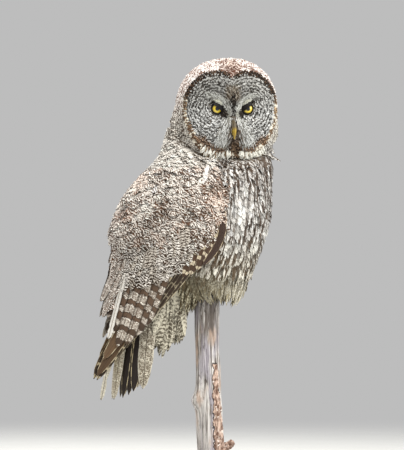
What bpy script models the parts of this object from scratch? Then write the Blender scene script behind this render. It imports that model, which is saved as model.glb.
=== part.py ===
"""A great grey owl, life-size, perched on a cut length of dead stem on a plain display stand.

Metres, +Z up. The origin is the middle of the base's underside. The body faces +X and
the head is turned over its right shoulder to look along -Y. Shapes are worked out from
the sizes below; tables of sizes are read through a smooth curve.
"""

import math

import bmesh
import bpy
import numpy as np
from mathutils import Matrix, Vector

# Gap between pieces that touch
GAP = 0.0003
# Edges that turn more than this are sharp
SHARP_ANGLE = math.radians(40)
# Faces that meet flatter than this are one face before they are split into triangles again
FLAT_ANGLE = math.radians(0.2)
# Roughness of feather
MATTE = 0.85

# Stand: a flat round base and one short rod
BASE_RADIUS = 0.125
BASE_THICK = 0.016
BASE_CHAMFER = 0.003
ROD_RADIUS = 0.006
ROD_X = 0.008

# Perch: a cut length of dead stem with a swollen knot and one broken side twig
STEM_BOTTOM = 0.040
STEM_TOP = 0.345
# Height, middle in x, radius
STEM = (
    (0.040, 0.0080, 0.0250),
    (0.075, 0.0065, 0.0255),
    (0.105, 0.0045, 0.0255),
    (0.160, 0.0015, 0.0245),
    (0.200, 0.0015, 0.0232),
    (0.240, -0.0005, 0.0220),
    (0.290, -0.0005, 0.0230),
    (0.345, 0.0000, 0.0240),
)
STEM_SIDES = 18
STEM_RINGS = 14
KNOT_HEIGHT = 0.142
KNOT_REACH = 0.0085
# The knot's half height
KNOT_SPREAD = 0.014
# How far the top edge is rounded in, and over what height
STEM_TOP_ROUND = 0.004
STEM_TOP_BEVEL = 0.003
TWIG_HEIGHT = 0.062
TWIG_ROOT = (0.018, -0.004, TWIG_HEIGHT - 0.012)
TWIG_RUN = (0.030, -0.004, 0.013)
TWIG_STEPS = (0.0, 0.45, 0.8, 1.0)
TWIG_RADIUS = 0.0090
# The twig's radius at its root, and how much of it is lost by its tip
TWIG_ROOT_SHARE = 1.25
TWIG_TAPER = 0.7

# Trunk without the wings: height, back, breast, half width on the right and on the left. The neck
# keeps further in on the right, so that the turned face hangs clear in front of it
TRUNK = (
    (0.388, -0.152, 0.089, 0.068, 0.068),
    (0.409, -0.166, 0.098, 0.078, 0.078),
    (0.428, -0.180, 0.105, 0.085, 0.085),
    (0.447, -0.189, 0.112, 0.089, 0.089),
    (0.466, -0.188, 0.117, 0.091, 0.091),
    (0.485, -0.182, 0.122, 0.092, 0.092),
    (0.504, -0.175, 0.124, 0.093, 0.093),
    (0.523, -0.165, 0.124, 0.094, 0.094),
    (0.542, -0.152, 0.124, 0.095, 0.095),
    (0.561, -0.134, 0.125, 0.094, 0.095),
    (0.580, -0.115, 0.126, 0.086, 0.093),
    (0.599, -0.097, 0.127, 0.070, 0.085),
    (0.618, -0.089, 0.128, 0.056, 0.076),
    (0.637, -0.083, 0.127, 0.050, 0.071),
    (0.660, -0.075, 0.122, 0.047, 0.066),
    (0.692, -0.060, 0.112, 0.045, 0.060),
)
TRUNK_SQUARE = 2.3
TRUNK_SIDES = 32
BELLY_BASE = 0.390
NECK_BASE = 0.580
NECK_TOP = 0.688
TRUNK_HEIGHTS = np.linspace(BELLY_BASE, NECK_BASE - GAP, 15)
NECK_HEIGHTS = np.linspace(NECK_BASE, NECK_TOP, 8)

# Head: an egg turned to the side, with the two bowls of the face let into its front
HEAD_MIDDLE = Vector((0.0365, 0.0, 0.6898))
HEAD_TURN = math.radians(88)
HEAD_HALF_WIDTH = 0.0990
HEAD_HALF_HEIGHT = 0.1045
HEAD_HALF_DEPTH = 0.0880
HEAD_SQUARE = 2.4
HEAD_SIDES = 32
NAPE_DRAW = 0.007
DISC_DROP = 0.006
# Angle round the face from level with the eyes, in degrees, and how far the disc reaches there
DISC_REACH = (
    (-90, 0.0755),
    (-75, 0.0820),
    (-50, 0.0855),
    (-20, 0.0830),
    (5, 0.0875),
    (35, 0.0945),
    (55, 0.0930),
    (72, 0.0850),
    (90, 0.0680),
)
RIM_RISE = 0.0028
# Shares of the disc's reach at the rings of the head's hollow front
HOLLOW_SHARES = (0.05, 0.40, 0.75, 0.935)
# The rim's section: share of the disc's reach, and how far behind the egg's surface it lies
RIM_SECTION = ((0.962, 0.003), (0.985, -RIM_RISE), (1.010, -RIM_RISE * 0.7))
# The disc fits in the hollow with this to spare behind, and its edge lies inside the rim
DISC_CLEARANCE = 0.0005
DISC_BACK_SHARES = (0.05, 0.40, 0.75, 0.926)
DISC_FRONT_SHARES = (0.953, 0.84, 0.70, 0.56, 0.42, 0.28, 0.12)
# The outer head starts just outside the rim and ends near the middle of its back, in degrees
OUTER_HEAD_SHARE = 1.03
OUTER_HEAD_END = 176
CUTTER_SHARES = (0.1, 0.4, 0.7, 0.9, 1.01)
NECK_CLEARANCE = 0.0004
DISH_EDGE = 0.005
DISH_BOWL = 0.0145
DISH_RADIUS = 0.064
DISH_BACK_EDGE = 0.012
DISH_BACK_BOWL = 0.030
EYE_OUT = 0.0295
EYE_UP = 0.0052
EYE_RADIUS = 0.0112
EYE_HALF_DEPTH = 0.0065
EYE_FORWARD = 0.0640
LID_RADIUS = 0.0018
# How far the lids reach over the eye's edge, how far forward they lie, and how deep for their width
LID_OVERLAP = 0.0008
LID_FORWARD = 0.0030
LID_DEPTH_SHARE = 1.7
# Steps round the eye and round the fold
LID_GRID = (14, 5)
BROW_RADIUS = 0.0032
# Brow ridge: distance out and up from the head's middle, at its outer and inner end
BROW_OUTER = (0.0385, 0.0215)
BROW_INNER = (0.0140, -0.0040)
BILL_HALF_WIDTH = 0.0062
# Side view of the bill from the head's middle: up, forward, half depth, share of its half width
UPPER_BILL = (
    (-0.0220, 0.0730, 0.0085, 1.00),
    (-0.0270, 0.0825, 0.0082, 1.00),
    (-0.0335, 0.0885, 0.0070, 0.92),
    (-0.0405, 0.0905, 0.0052, 0.75),
    (-0.0470, 0.0895, 0.0034, 0.50),
    (-0.0520, 0.0875, 0.0016, 0.25),
)
LOWER_BILL = (
    (-0.0340, 0.0700, 0.0050, 0.85),
    (-0.0390, 0.0780, 0.0045, 0.80),
    (-0.0435, 0.0830, 0.0032, 0.60),
    (-0.0460, 0.0855, 0.0018, 0.35),
)
# Nostrils: out, up and forward from the head's middle
NOSTRIL = (0.0052, -0.0262, 0.0835)
NOSTRIL_RADIUS = 0.0012

# The outer face of the folded wings: height, x of its crown, half width there, radius round the back
WING_SHEET = (
    (0.140, -0.2100, 0.0350, 0.060),
    (0.184, -0.1980, 0.0400, 0.060),
    (0.240, -0.1580, 0.0560, 0.060),
    (0.280, -0.1330, 0.0640, 0.063),
    (0.330, -0.1050, 0.0740, 0.070),
    (0.370, -0.0820, 0.0850, 0.080),
    (0.410, -0.0600, 0.0960, 0.096),
    (0.465, -0.0350, 0.1070, 0.113),
    (0.523, -0.0200, 0.1090, 0.110),
    (0.565, -0.0060, 0.1050, 0.100),
    (0.600, 0.0050, 0.0950, 0.090),
)
# The covered part of the wing, from shoulder to elbow: height of the rear edge, rear edge, leading
# edge, height of the leading edge
WING_ROWS = (
    (0.590, -0.060, 0.012, 0.583),
    (0.560, -0.104, 0.034, 0.560),
    (0.523, -0.150, 0.033, 0.523),
    (0.485, -0.177, 0.026, 0.485),
    (0.445, -0.190, 0.013, 0.450),
    (0.410, -0.191, -0.012, 0.414),
    (0.385, -0.189, -0.036, 0.393),
    (0.366, -0.187, -0.060, 0.376),
)
WING_THICK_TOP = 0.034
WING_THICK_LOW = 0.009
# Its edges are rounded down by this much, over this share of its width
WING_EDGE_SINK = 0.0055
WING_EDGE_SHARE = 0.10
# Rows down it and points across it
WING_GRID = (11, 8)

FEATHER_THICK = 0.0011
# Each vane's far edge is raised by this much
WING_TILT = math.radians(7)
# Rows of vanes on the wing, in side view x and z: the two ends of the row of roots, each tip, half
# width, how far the first root and tip lie off the wing's face, how much each next one is raised,
# sideways bend, parts along a vane, and the share of it that rounds off at the tip
PRIMARIES = {
    "roots": ((-0.010, 0.452), (-0.075, 0.405)),
    "tips": (
        (-0.121, 0.300),
        (-0.146, 0.268),
        (-0.172, 0.236),
        (-0.198, 0.205),
        (-0.217, 0.183),
        (-0.211, 0.202),
        (-0.205, 0.224),
    ),
    "half": 0.0135,
    "lift": (-0.0110, -0.0165),
    "rise": (0.0005, 0.0014),
    "bend": 0.004,
    "count": 6,
    "blunt": 0.3,
}
SECONDARIES = {
    "roots": ((-0.082, 0.405), (-0.160, 0.415)),
    "tips": (
        (-0.129, 0.283),
        (-0.144, 0.265),
        (-0.161, 0.250),
        (-0.178, 0.246),
        (-0.189, 0.268),
        (-0.194, 0.300),
    ),
    "half": 0.0145,
    "lift": (-0.0045, -0.0035),
    "rise": (0.0, 0.0006),
    "bend": 0.001,
    "count": 5,
    "blunt": 0.3,
}
SCAPULARS = {
    "roots": ((-0.052, 0.452), (-0.165, 0.430)),
    "tips": (
        (-0.048, 0.405),
        (-0.068, 0.381),
        (-0.097, 0.366),
        (-0.128, 0.357),
        (-0.158, 0.352),
        (-0.185, 0.346),
    ),
    "half": 0.0190,
    "lift": (-0.0015, 0.0012),
    "rise": (0.0, 0.0),
    "bend": 0.0,
    "count": 4,
    "blunt": 0.5,
}
HAND_COVERTS = {
    "roots": ((0.024, 0.500), (-0.010, 0.462)),
    "tips": ((-0.022, 0.408), (-0.031, 0.401), (-0.042, 0.398), (-0.048, 0.412)),
    "half": 0.0085,
    "lift": (-0.0020, -0.0010),
    "rise": (0.0, 0.0),
    "bend": 0.003,
    "count": 4,
    "blunt": 0.4,
}

# Tail: six feathers a side, in two halves that droop like a low tent
TAIL_FEATHERS = 6
TAIL_ROOT_IN = Vector((-0.148, 0.004, 0.384))
TAIL_ROOT_OUT = Vector((-0.104, 0.022, 0.384))
TAIL_TIP_IN = Vector((-0.194, 0.008, 0.146))
TAIL_TIP_OUT = Vector((-0.128, 0.040, 0.166))
TAIL_HALF_WIDTH = 0.0180
TAIL_LONGEST_EXTRA = 0.006
# How steep the middle and the outermost feather lie, from across the body, and each one's own tilt
TAIL_SLOPE_IN = 66
TAIL_SLOPE_OUT = 26
TAIL_TILT = math.radians(10)
TAIL_BOW = 0.004
TAIL_BLUNT = 0.28
# Pads that the tail and its coverts grow from: back, front, half width and height of the lower end,
# then back, front and half width of the upper end, which meets the belly
TAIL_PAD = ((-0.160, -0.112, 0.022, 0.300), (-0.150, -0.098, 0.028))
UNDERTAIL_PAD = ((-0.078, -0.044, 0.016, 0.300), (-0.092, -0.036, 0.026))
UPPERTAIL_PAD = ((-0.176, -0.167, 0.010, 0.330), (-0.166, -0.152, 0.018))
PAD_SIDES = 16
# How much of a pad's depth and of its width is lost by its lower end
PAD_TAPER_DEPTH = 0.35
PAD_TAPER_WIDTH = 0.3
# Middle of the roots, then the tips of one side, a pair each unless on the middle line
UNDERTAIL_ROOT = (-0.064, 0.0, 0.360)
UNDERTAIL_TIPS = (
    (-0.098, 0.007, 0.240),
    (-0.083, 0.013, 0.222),
    (-0.069, 0.018, 0.250),
    (-0.054, 0.013, 0.244),
    (-0.038, 0.010, 0.284),
)
UNDERTAIL_HALF_WIDTH = 0.0120
COVERT_BOW = 0.003
UPPERTAIL_ROOT = (-0.160, 0.0, 0.375)
UPPERTAIL_TIPS = ((-0.181, 0.0, 0.292), (-0.178, 0.009, 0.306))
UPPERTAIL_HALF_WIDTH = 0.0070

# Height and x of the wing's leading edge beside the belly
WING_LEAD = ((0.376, -0.060), (0.393, -0.036), (0.414, -0.012), (0.450, 0.013))
# Belly skirt: height of roots, height of tips, half sizes of the ellipse that the tips lie on, how
# many, bow outwards, and how far round from the front they go, in degrees
SKIRT_TIERS = (
    (0.430, 0.350, 0.070, 0.058, 10, 0.009, 112),
    (0.408, 0.327, 0.057, 0.046, 12, 0.003, 152),
)
SKIRT_MIDDLE = 0.012
SKIRT_HALF_WIDTH = 0.0160
SKIRT_ROOT_REACH = 0.082
SKIRT_ROOT_SINK = 0.012
SKIRT_TILT = math.radians(9)
# Past this turn they hang from under the body instead of its side
VENT_TURN = math.radians(115)
VENT_ROOT = (-0.020, 0.044, BELLY_BASE + 0.006)

# Perching gear: two feathered legs, four toes a foot
LEG_OUT = 0.0165
LEG_RADIUS = 0.0145
ANKLE_RADIUS = 0.0095
TOE_RADIUS = 0.0056
TOE_TIP_RADIUS = 0.0042
RIM_OUT = 0.0300
CLAW_RADIUS = 0.0028
CLAW_DROP = 0.021
CLAW_BOW = 0.0045
# Toes of the left foot: where each crosses the stem's rim, in degrees from +X
TOE_TURNS = (22, 64, 116, 158)
FOOT_PAD_TOP = 0.361
LEG_SIDES = 14
# Leg and foot from the top down: height, x, share of LEG_OUT, half sizes fore and aft and across
LEG_RINGS = (
    (BELLY_BASE - GAP, -0.006, 1.0, LEG_RADIUS, LEG_RADIUS * 0.95),
    (0.374, -0.003, 0.9, LEG_RADIUS * 0.85, LEG_RADIUS * 0.8),
    (FOOT_PAD_TOP + GAP, 0.0, 0.75, ANKLE_RADIUS, ANKLE_RADIUS),
)
FOOT_RINGS = (
    (FOOT_PAD_TOP, 0.0, 0.75, ANKLE_RADIUS, ANKLE_RADIUS),
    (0.354, 0.0, 0.75, ANKLE_RADIUS * 1.1, ANKLE_RADIUS * 1.05),
    (STEM_TOP + GAP, 0.0, 0.75, ANKLE_RADIUS * 0.9, ANKLE_RADIUS * 0.9),
)
# Heights of the rings that the feet are cut to the stem with
STEM_CUTTER_HEIGHTS = (0.30, 0.325, STEM_TOP - STEM_TOP_BEVEL)

for old in list(bpy.data.objects):
    bpy.data.objects.remove(old, do_unlink=True)


def smooth_at(table, x):
    """The row of a table at x, on a smooth curve through its rows. The first column is x."""
    rows = np.array(table, float)
    at = rows[:, 0]
    x = min(max(x, at[0]), at[-1])
    k = min(max(int(np.searchsorted(at, x)) - 1, 0), len(at) - 2)
    slope = np.gradient(rows[:, 1:], at, axis=0)
    step = at[k + 1] - at[k]
    u = (x - at[k]) / step
    near, far = rows[k, 1:], rows[k + 1, 1:]
    ease = u * u * (3 - 2 * u)
    bulge_near = u * (1 - u) ** 2 * step * slope[k]
    bulge_far = u * u * (u - 1) * step * slope[k + 1]
    return near * (1 - ease) + far * ease + bulge_near + bulge_far


def material(name, colour, roughness, metallic=0.0):
    made = bpy.data.materials.new(name)
    made.use_nodes = True
    shader = made.node_tree.nodes["Principled BSDF"]
    shader.inputs["Base Color"].default_value = (*colour, 1.0)
    shader.inputs["Roughness"].default_value = roughness
    shader.inputs["Metallic"].default_value = metallic
    return made


BACK_FEATHER = material("back_feather", (0.36, 0.31, 0.27), MATTE)
BREAST_FEATHER = material("breast_feather", (0.55, 0.50, 0.43), MATTE)
FACE_FEATHER = material("face_feather", (0.42, 0.42, 0.42), MATTE)
FLIGHT_FEATHER = material("flight_feather", (0.25, 0.18, 0.13), MATTE)
IRIS = material("iris", (0.85, 0.66, 0.05), 0.08)
BILL_HORN = material("bill_horn", (0.78, 0.52, 0.08), 0.35)
CLAW_HORN = material("claw_horn", (0.05, 0.045, 0.04), 0.3)
WEATHERED_WOOD = material("weathered_wood", (0.42, 0.37, 0.34), 0.8)
STAND_WOOD = material("stand_wood", (0.10, 0.07, 0.05), 0.5)
STAND_STEEL = material("stand_steel", (0.30, 0.30, 0.31), 0.35, 1.0)


def mesh_object(name, points, faces, surface, smooth=True):
    mesh = bpy.data.meshes.new(name)
    mesh.from_pydata([tuple(p) for p in points], [], faces)
    work = bmesh.new()
    work.from_mesh(mesh)
    bmesh.ops.recalc_face_normals(work, faces=work.faces)
    work.to_mesh(mesh)
    work.free()
    mesh.update()
    made = bpy.data.objects.new(name, mesh)
    bpy.context.scene.collection.objects.link(made)
    mesh.materials.append(surface)
    if smooth:
        mesh.shade_smooth()
        mesh.set_sharp_from_angle(angle=SHARP_ANGLE)
    return made


def loft(name, rings, surface, ends=None):
    """A closed skin over rings of equal count, closed by the two points in ends or else by the
    middles of its end rings."""
    count = len(rings[0])
    points = [p for ring in rings for p in ring]
    faces = []
    for r in range(len(rings) - 1):
        for k in range(count):
            a, b = r * count + k, r * count + (k + 1) % count
            faces.append((a, b, b + count))
            faces.append((a, b + count, a + count))
    if ends is None:
        ends = [sum((Vector(p) for p in rings[i]), Vector()) / count for i in (0, -1)]
    first, last = len(points), len(points) + 1
    points += list(ends)
    top = (len(rings) - 1) * count
    for k in range(count):
        faces.append((first, (k + 1) % count, k))
        faces.append((last, top + k, top + (k + 1) % count))
    return mesh_object(name, points, faces, surface)


def apply_boolean(node, operation, others):
    """Joins or cuts node with closed mesh objects, and removes them."""
    group = bpy.data.collections.new("tools")
    bpy.context.scene.collection.children.link(group)
    for other in others:
        bpy.context.scene.collection.objects.unlink(other)
        group.objects.link(other)
    change = node.modifiers.new("change", "BOOLEAN")
    change.operation = operation
    change.operand_type = "COLLECTION"
    change.collection = group
    change.solver = "EXACT"
    graph = bpy.context.evaluated_depsgraph_get()
    graph.update()
    result = bpy.data.meshes.new_from_object(node.evaluated_get(graph), depsgraph=graph)
    node.modifiers.remove(change)
    kept = node.data.materials[0]
    node.data = result
    node.data.materials.clear()
    node.data.materials.append(kept)
    for polygon in node.data.polygons:
        polygon.material_index = 0
    for other in others:
        bpy.data.objects.remove(other, do_unlink=True)
    bpy.data.collections.remove(group)
    return keep_largest(node)


def keep_largest(node):
    """Drops every loose scrap, and whatever surface a join has sealed inside."""
    work = bmesh.new()
    work.from_mesh(node.data)
    left = set(work.faces)
    groups = []
    while left:
        reach = [left.pop()]
        group = list(reach)
        while reach:
            face = reach.pop()
            for edge in face.edges:
                for near in edge.link_faces:
                    if near in left:
                        left.remove(near)
                        reach.append(near)
                        group.append(near)
        groups.append(group)
    groups.sort(key=lambda g: sum(f.calc_area() for f in g), reverse=True)
    spare = [face for group in groups[1:] for face in group]
    bmesh.ops.delete(work, geom=spare, context="FACES")
    bmesh.ops.dissolve_limit(work, angle_limit=FLAT_ANGLE, verts=work.verts, edges=work.edges)
    bmesh.ops.triangulate(work, faces=work.faces)
    work.to_mesh(node.data)
    work.free()
    node.data.shade_smooth()
    node.data.set_sharp_from_angle(angle=SHARP_ANGLE)
    return node


def fuse(node, others):
    return apply_boolean(node, "UNION", others)


def cut(node, others):
    return apply_boolean(node, "DIFFERENCE", others)


def box(name, low, high):
    xs, ys, zs = zip(low, high)
    corners = [(x, y, z) for x in xs for y in ys for z in zs]
    faces = ((0, 1, 3, 2), (4, 6, 7, 5), (0, 4, 5, 1), (2, 3, 7, 6), (0, 2, 6, 4), (1, 5, 7, 3))
    return mesh_object(name, corners, faces, STAND_WOOD, smooth=False)


def tube(name, path, radii, surface, sides):
    """A round bar with domed ends along a path."""
    path = [Vector(p) for p in path]
    rings = []
    before = (path[1] - path[0]).normalized()
    guide = before.orthogonal().normalized()
    for k, at in enumerate(path):
        ahead = (path[min(k + 1, len(path) - 1)] - path[max(k - 1, 0)]).normalized()
        guide = (before.rotation_difference(ahead) @ guide).normalized()
        other = ahead.cross(guide)
        before = ahead
        ring = []
        for s in range(sides):
            turn = 2 * math.pi * s / sides
            ring.append(at + radii[k] * (math.cos(turn) * guide + math.sin(turn) * other))
        rings.append(ring)
    start = path[0] + (path[0] - path[1]).normalized() * radii[0] * 0.5
    end = path[-1] + (path[-1] - path[-2]).normalized() * radii[-1] * 0.5
    return loft(name, rings, surface, (start, end))


def feather_outline(t, blunt=0.30):
    """A vane's half width at t from root to tip, as a share of its widest."""
    shoulder = min(1.0, 0.55 + 1.5 * t)
    if t < 1 - blunt:
        return shoulder
    return shoulder * max(0.16, math.sqrt(max(0.0, 1 - ((t - 1 + blunt) / blunt) ** 2)))


def blade(name, stations, surface, thick=FEATHER_THICK):
    """A vane: each station is its middle, the direction across, the normal and the half width."""
    points = []
    for middle, across, up, half in stations:
        for side, level in ((-1, -1), (1, -1), (1, 1), (-1, 1)):
            points.append(middle + across * side * half + up * level * thick / 2)
    faces = []
    for k in range(len(stations) - 1):
        a, b = 4 * k, 4 * k + 4
        faces += [(a, a + 1, b + 1), (a, b + 1, b)]
        faces += [(a + 1, a + 2, b + 2), (a + 1, b + 2, b + 1)]
        faces += [(a + 3, b + 2, a + 2), (a + 3, b + 3, b + 2)]
        faces += [(a, b, b + 3), (a, b + 3, a + 3)]
    last = 4 * (len(stations) - 1)
    faces += [(0, 2, 1), (0, 3, 2), (last, last + 1, last + 2), (last, last + 2, last + 3)]
    return mesh_object(name, points, faces, surface, smooth=False)


def mirrored(source, name):
    """A copy of a node on the other side of the body."""
    mesh = source.data.copy()
    mesh.transform(Matrix.Diagonal((1, -1, 1, 1)))
    mesh.flip_normals()
    made = bpy.data.objects.new(name, mesh)
    bpy.context.scene.collection.objects.link(made)
    return made


# Stand
def disc_ring(radius, z, x=0.0, sides=48):
    turns = [2 * math.pi * k / sides for k in range(sides)]
    return [Vector((x + radius * math.cos(a), radius * math.sin(a), z)) for a in turns]


def build_stand():
    loft(
        "stand_base",
        [
            disc_ring(BASE_RADIUS, 0.0),
            disc_ring(BASE_RADIUS, BASE_THICK - BASE_CHAMFER),
            disc_ring(BASE_RADIUS - BASE_CHAMFER, BASE_THICK),
        ],
        STAND_WOOD,
    )
    loft(
        "stand_rod",
        [
            disc_ring(ROD_RADIUS, BASE_THICK + GAP, ROD_X, 20),
            disc_ring(ROD_RADIUS, STEM_BOTTOM - GAP, ROD_X, 20),
        ],
        STAND_STEEL,
    )


# Perch
def stem_ring(z, grow=0.0, sides=STEM_SIDES):
    """The stem's outline at a height: slightly fluted, with a knot swelling on the -X side."""
    middle, radius = smooth_at(STEM, z)
    ring = []
    for k in range(sides):
        turn = 2 * math.pi * k / sides
        flute = 0.0007 * math.sin(3 * turn + 9 * z) + 0.0005 * math.sin(5 * turn - 20 * z)
        facing = max(0.0, math.cos(turn - math.pi)) ** 3
        swell = KNOT_REACH * facing * math.exp(-(((z - KNOT_HEIGHT) / KNOT_SPREAD) ** 2))
        reach = radius + flute + swell + grow
        ring.append(Vector((middle + reach * math.cos(turn), reach * math.sin(turn), z)))
    return ring


def build_perch():
    heights = np.linspace(STEM_BOTTOM, STEM_TOP - STEM_TOP_BEVEL, STEM_RINGS)
    rings = [stem_ring(z) for z in heights]
    rings.append(stem_ring(STEM_TOP, grow=-STEM_TOP_ROUND))
    stem = loft("perch_stem", rings, WEATHERED_WOOD)
    path = [Vector(TWIG_ROOT) + Vector(TWIG_RUN) * t for t in TWIG_STEPS]
    radii = [TWIG_RADIUS * (TWIG_ROOT_SHARE - TWIG_TAPER * t) for t in TWIG_STEPS]
    fuse(stem, [tube("twig", path, radii, WEATHERED_WOOD, sides=9)])


# Trunk and neck
def trunk_ring(z, grow=0.0, even=False, sides=TRUNK_SIDES):
    """The trunk's outline at a height. even makes it as wide on the right as it is on the left."""
    back, breast, right, left = smooth_at(TRUNK, z)
    right = left if even else right
    middle, reach = (back + breast) / 2, (breast - back) / 2 + grow
    ring = []
    for k in range(sides):
        turn = 2 * math.pi * k / sides
        c, s = math.cos(turn), math.sin(turn)
        x = middle + reach * math.copysign(abs(c) ** (2 / TRUNK_SQUARE), c)
        half = left if s > 0 else right
        y = (half + grow) * math.copysign(abs(s) ** (2 / TRUNK_SQUARE), s)
        ring.append(Vector((x, y, z)))
    return ring


def trunk_half_width(x, z):
    back, breast, _, half = smooth_at(TRUNK, z)
    off = abs((x - (back + breast) / 2) / ((breast - back) / 2))
    return half * max(0.0, 1 - off**TRUNK_SQUARE) ** (1 / TRUNK_SQUARE)


def trunk_solid(name, heights, grow=0.0, even=False):
    return loft(name, [trunk_ring(z, grow, even) for z in heights], BREAST_FEATHER)


# Head
HEAD_FRONT = Vector((math.cos(HEAD_TURN), -math.sin(HEAD_TURN), 0.0))
HEAD_SIDE = Vector((math.sin(HEAD_TURN), math.cos(HEAD_TURN), 0.0))


def on_head(side, up, front):
    """A point given from the head's middle: to its left, up, and forward."""
    return HEAD_MIDDLE + HEAD_SIDE * side + Vector((0, 0, up)) + HEAD_FRONT * front


def head_front(side, up):
    """How far forward the egg reaches at a point of the face."""
    off = abs(side / HEAD_HALF_WIDTH) ** HEAD_SQUARE + abs(up / HEAD_HALF_HEIGHT) ** HEAD_SQUARE
    return HEAD_HALF_DEPTH * max(0.0, 1 - off) ** (1 / HEAD_SQUARE)


def disc_reach(turn):
    """The facial disc's reach from its middle, in the direction turn, the same on both sides."""
    level = math.degrees(math.asin(max(-1.0, min(1.0, math.sin(turn)))))
    return float(smooth_at(DISC_REACH, level)[0])


def disc_point(turn, share):
    reach = disc_reach(turn) * share
    return reach * math.cos(turn), reach * math.sin(turn) - DISC_DROP


def egg_point(turn, lean, grow=0.0):
    """The egg's surface at lean from straight ahead, in the direction turn round the face.
    Its right side, over the nape of the turned neck, is drawn down a little."""
    front = math.cos(lean)
    side = math.sin(lean) * math.cos(turn)
    up = math.sin(lean) * math.sin(turn)
    size = (
        abs(front / HEAD_HALF_DEPTH) ** HEAD_SQUARE
        + abs(side / HEAD_HALF_WIDTH) ** HEAD_SQUARE
        + abs(up / HEAD_HALF_HEIGHT) ** HEAD_SQUARE
    )
    reach = size ** (-1 / HEAD_SQUARE) + grow + NAPE_DRAW * min(0.0, side) * up
    return side * reach, up * reach, front * reach


def outer_head_rings(grow=0.0):
    """Rings from just outside the disc's rim round to the back of the head."""
    turns = [2 * math.pi * k / HEAD_SIDES for k in range(HEAD_SIDES)]
    rings = []
    for t in np.linspace(0, 1, 10):
        ring = []
        for turn in turns:
            side, up = disc_point(turn, OUTER_HEAD_SHARE)
            lean = math.atan2(math.hypot(side, up), head_front(side, up))
            around = math.atan2(up, side)
            lean += (math.radians(OUTER_HEAD_END) - lean) * t**0.9
            ring.append(on_head(*egg_point(around, lean, grow)))
        rings.append(ring)
    return rings


def face_ring(share, depth):
    """A ring at a share of the disc's reach. depth gives how far it lies behind the egg's surface."""
    ring = []
    for k in range(HEAD_SIDES):
        side, up = disc_point(2 * math.pi * k / HEAD_SIDES, share)
        ring.append(on_head(side, up, head_front(side, up) - depth(side, up)))
    return ring


def back_of_dish(side, up):
    share = min(1.0, math.hypot(side, up + DISC_DROP) / 0.085)
    return DISH_BACK_EDGE + DISH_BACK_BOWL * (1 - share**2)


def eased(x):
    x = min(1.0, max(0.0, x))
    return x * x * (3 - 2 * x)


def dish(side, up):
    """How deep the face lies behind the egg: a bowl round each eye, with a ridge between them."""
    from_eye = math.hypot(abs(side) - EYE_OUT, up - EYE_UP)
    bowl = 1 - eased(from_eye / DISH_RADIUS)
    ridge = math.exp(-((side / 0.011) ** 2)) * eased((up + 0.075) / 0.05)
    return (DISH_EDGE + DISH_BOWL * bowl) * (1 - 0.55 * ridge)


def build_head():
    rim = [face_ring(share, back_of_dish) for share in HOLLOW_SHARES]
    for share, depth in RIM_SECTION:
        rim.append(face_ring(share, lambda side, up, depth=depth: depth))
    middle = on_head(0, -DISC_DROP, head_front(0, -DISC_DROP) - back_of_dish(0, -DISC_DROP))
    back = on_head(0, 0, -HEAD_HALF_DEPTH)
    loft("head", rim + outer_head_rings(), BACK_FEATHER, (middle, back))


def head_cutter(grow):
    """The whole egg with its rim and no hollow, a little larger, to bed the neck on."""
    rings = [face_ring(share, lambda side, up: -RIM_RISE - grow) for share in CUTTER_SHARES]
    middle = on_head(0, -DISC_DROP, head_front(0, -DISC_DROP) + RIM_RISE + grow)
    back = on_head(0, 0, -HEAD_HALF_DEPTH - grow)
    return loft("head_cutter", rings + outer_head_rings(grow), BACK_FEATHER, (middle, back))


def ball(name, middle, radii, axes, surface, rings=7, sides=14):
    """An ellipsoid on three axes, with its poles on the first."""
    pole, second, third = axes
    made = []
    for r in range(1, rings):
        lean = math.pi * r / rings
        ring = []
        for k in range(sides):
            turn = 2 * math.pi * k / sides
            ring.append(
                middle
                + pole * radii[0] * math.cos(lean)
                + second * radii[1] * math.sin(lean) * math.cos(turn)
                + third * radii[2] * math.sin(lean) * math.sin(turn)
            )
        made.append(ring)
    return loft(name, made, surface, (middle + pole * radii[0], middle - pole * radii[0]))


def eye_solid(name, side, grow=0.0):
    axes = (HEAD_FRONT, HEAD_SIDE, Vector((0, 0, 1)))
    middle = on_head(side * EYE_OUT, EYE_UP, EYE_FORWARD)
    radii = (EYE_HALF_DEPTH + grow, EYE_RADIUS + grow, EYE_RADIUS + grow)
    return ball(name, middle, radii, axes, IRIS)


def lid_ring(side):
    """The lids: a thin round fold of skin that the eye sits in."""
    count, sides = LID_GRID
    major = EYE_RADIUS - LID_OVERLAP
    points, faces = [], []
    for k in range(count):
        turn = 2 * math.pi * k / count
        for s in range(sides):
            roll = 2 * math.pi * s / sides
            out = major + LID_RADIUS * math.cos(roll)
            points.append(
                on_head(
                    side * EYE_OUT + out * math.cos(turn),
                    EYE_UP + out * math.sin(turn),
                    EYE_FORWARD + LID_FORWARD + LID_DEPTH_SHARE * LID_RADIUS * math.sin(roll),
                )
            )
    for k in range(count):
        for s in range(sides):
            a, b = k * sides + s, k * sides + (s + 1) % sides
            c, d = (k + 1) % count * sides + (s + 1) % sides, (k + 1) % count * sides + s
            faces.append((a, b, c, d))
    return mesh_object("lid", points, faces, FACE_FEATHER)


def brow(side):
    """The overhanging brow that slants in over each eye."""
    path, radii = [], []
    for t in np.linspace(0, 1, 5):
        out = BROW_OUTER[0] + (BROW_INNER[0] - BROW_OUTER[0]) * t
        up = BROW_OUTER[1] + (BROW_INNER[1] - BROW_OUTER[1]) * t
        sunk = 0.0030 * (1 - t) ** 2
        path.append(on_head(side * out, up, head_front(out, up) - dish(out, up) + 0.0006 - sunk))
        radii.append(BROW_RADIUS * (0.7 + 0.4 * math.sin(math.pi * t)))
    return tube("brow", path, radii, FACE_FEATHER, sides=7)


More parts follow.
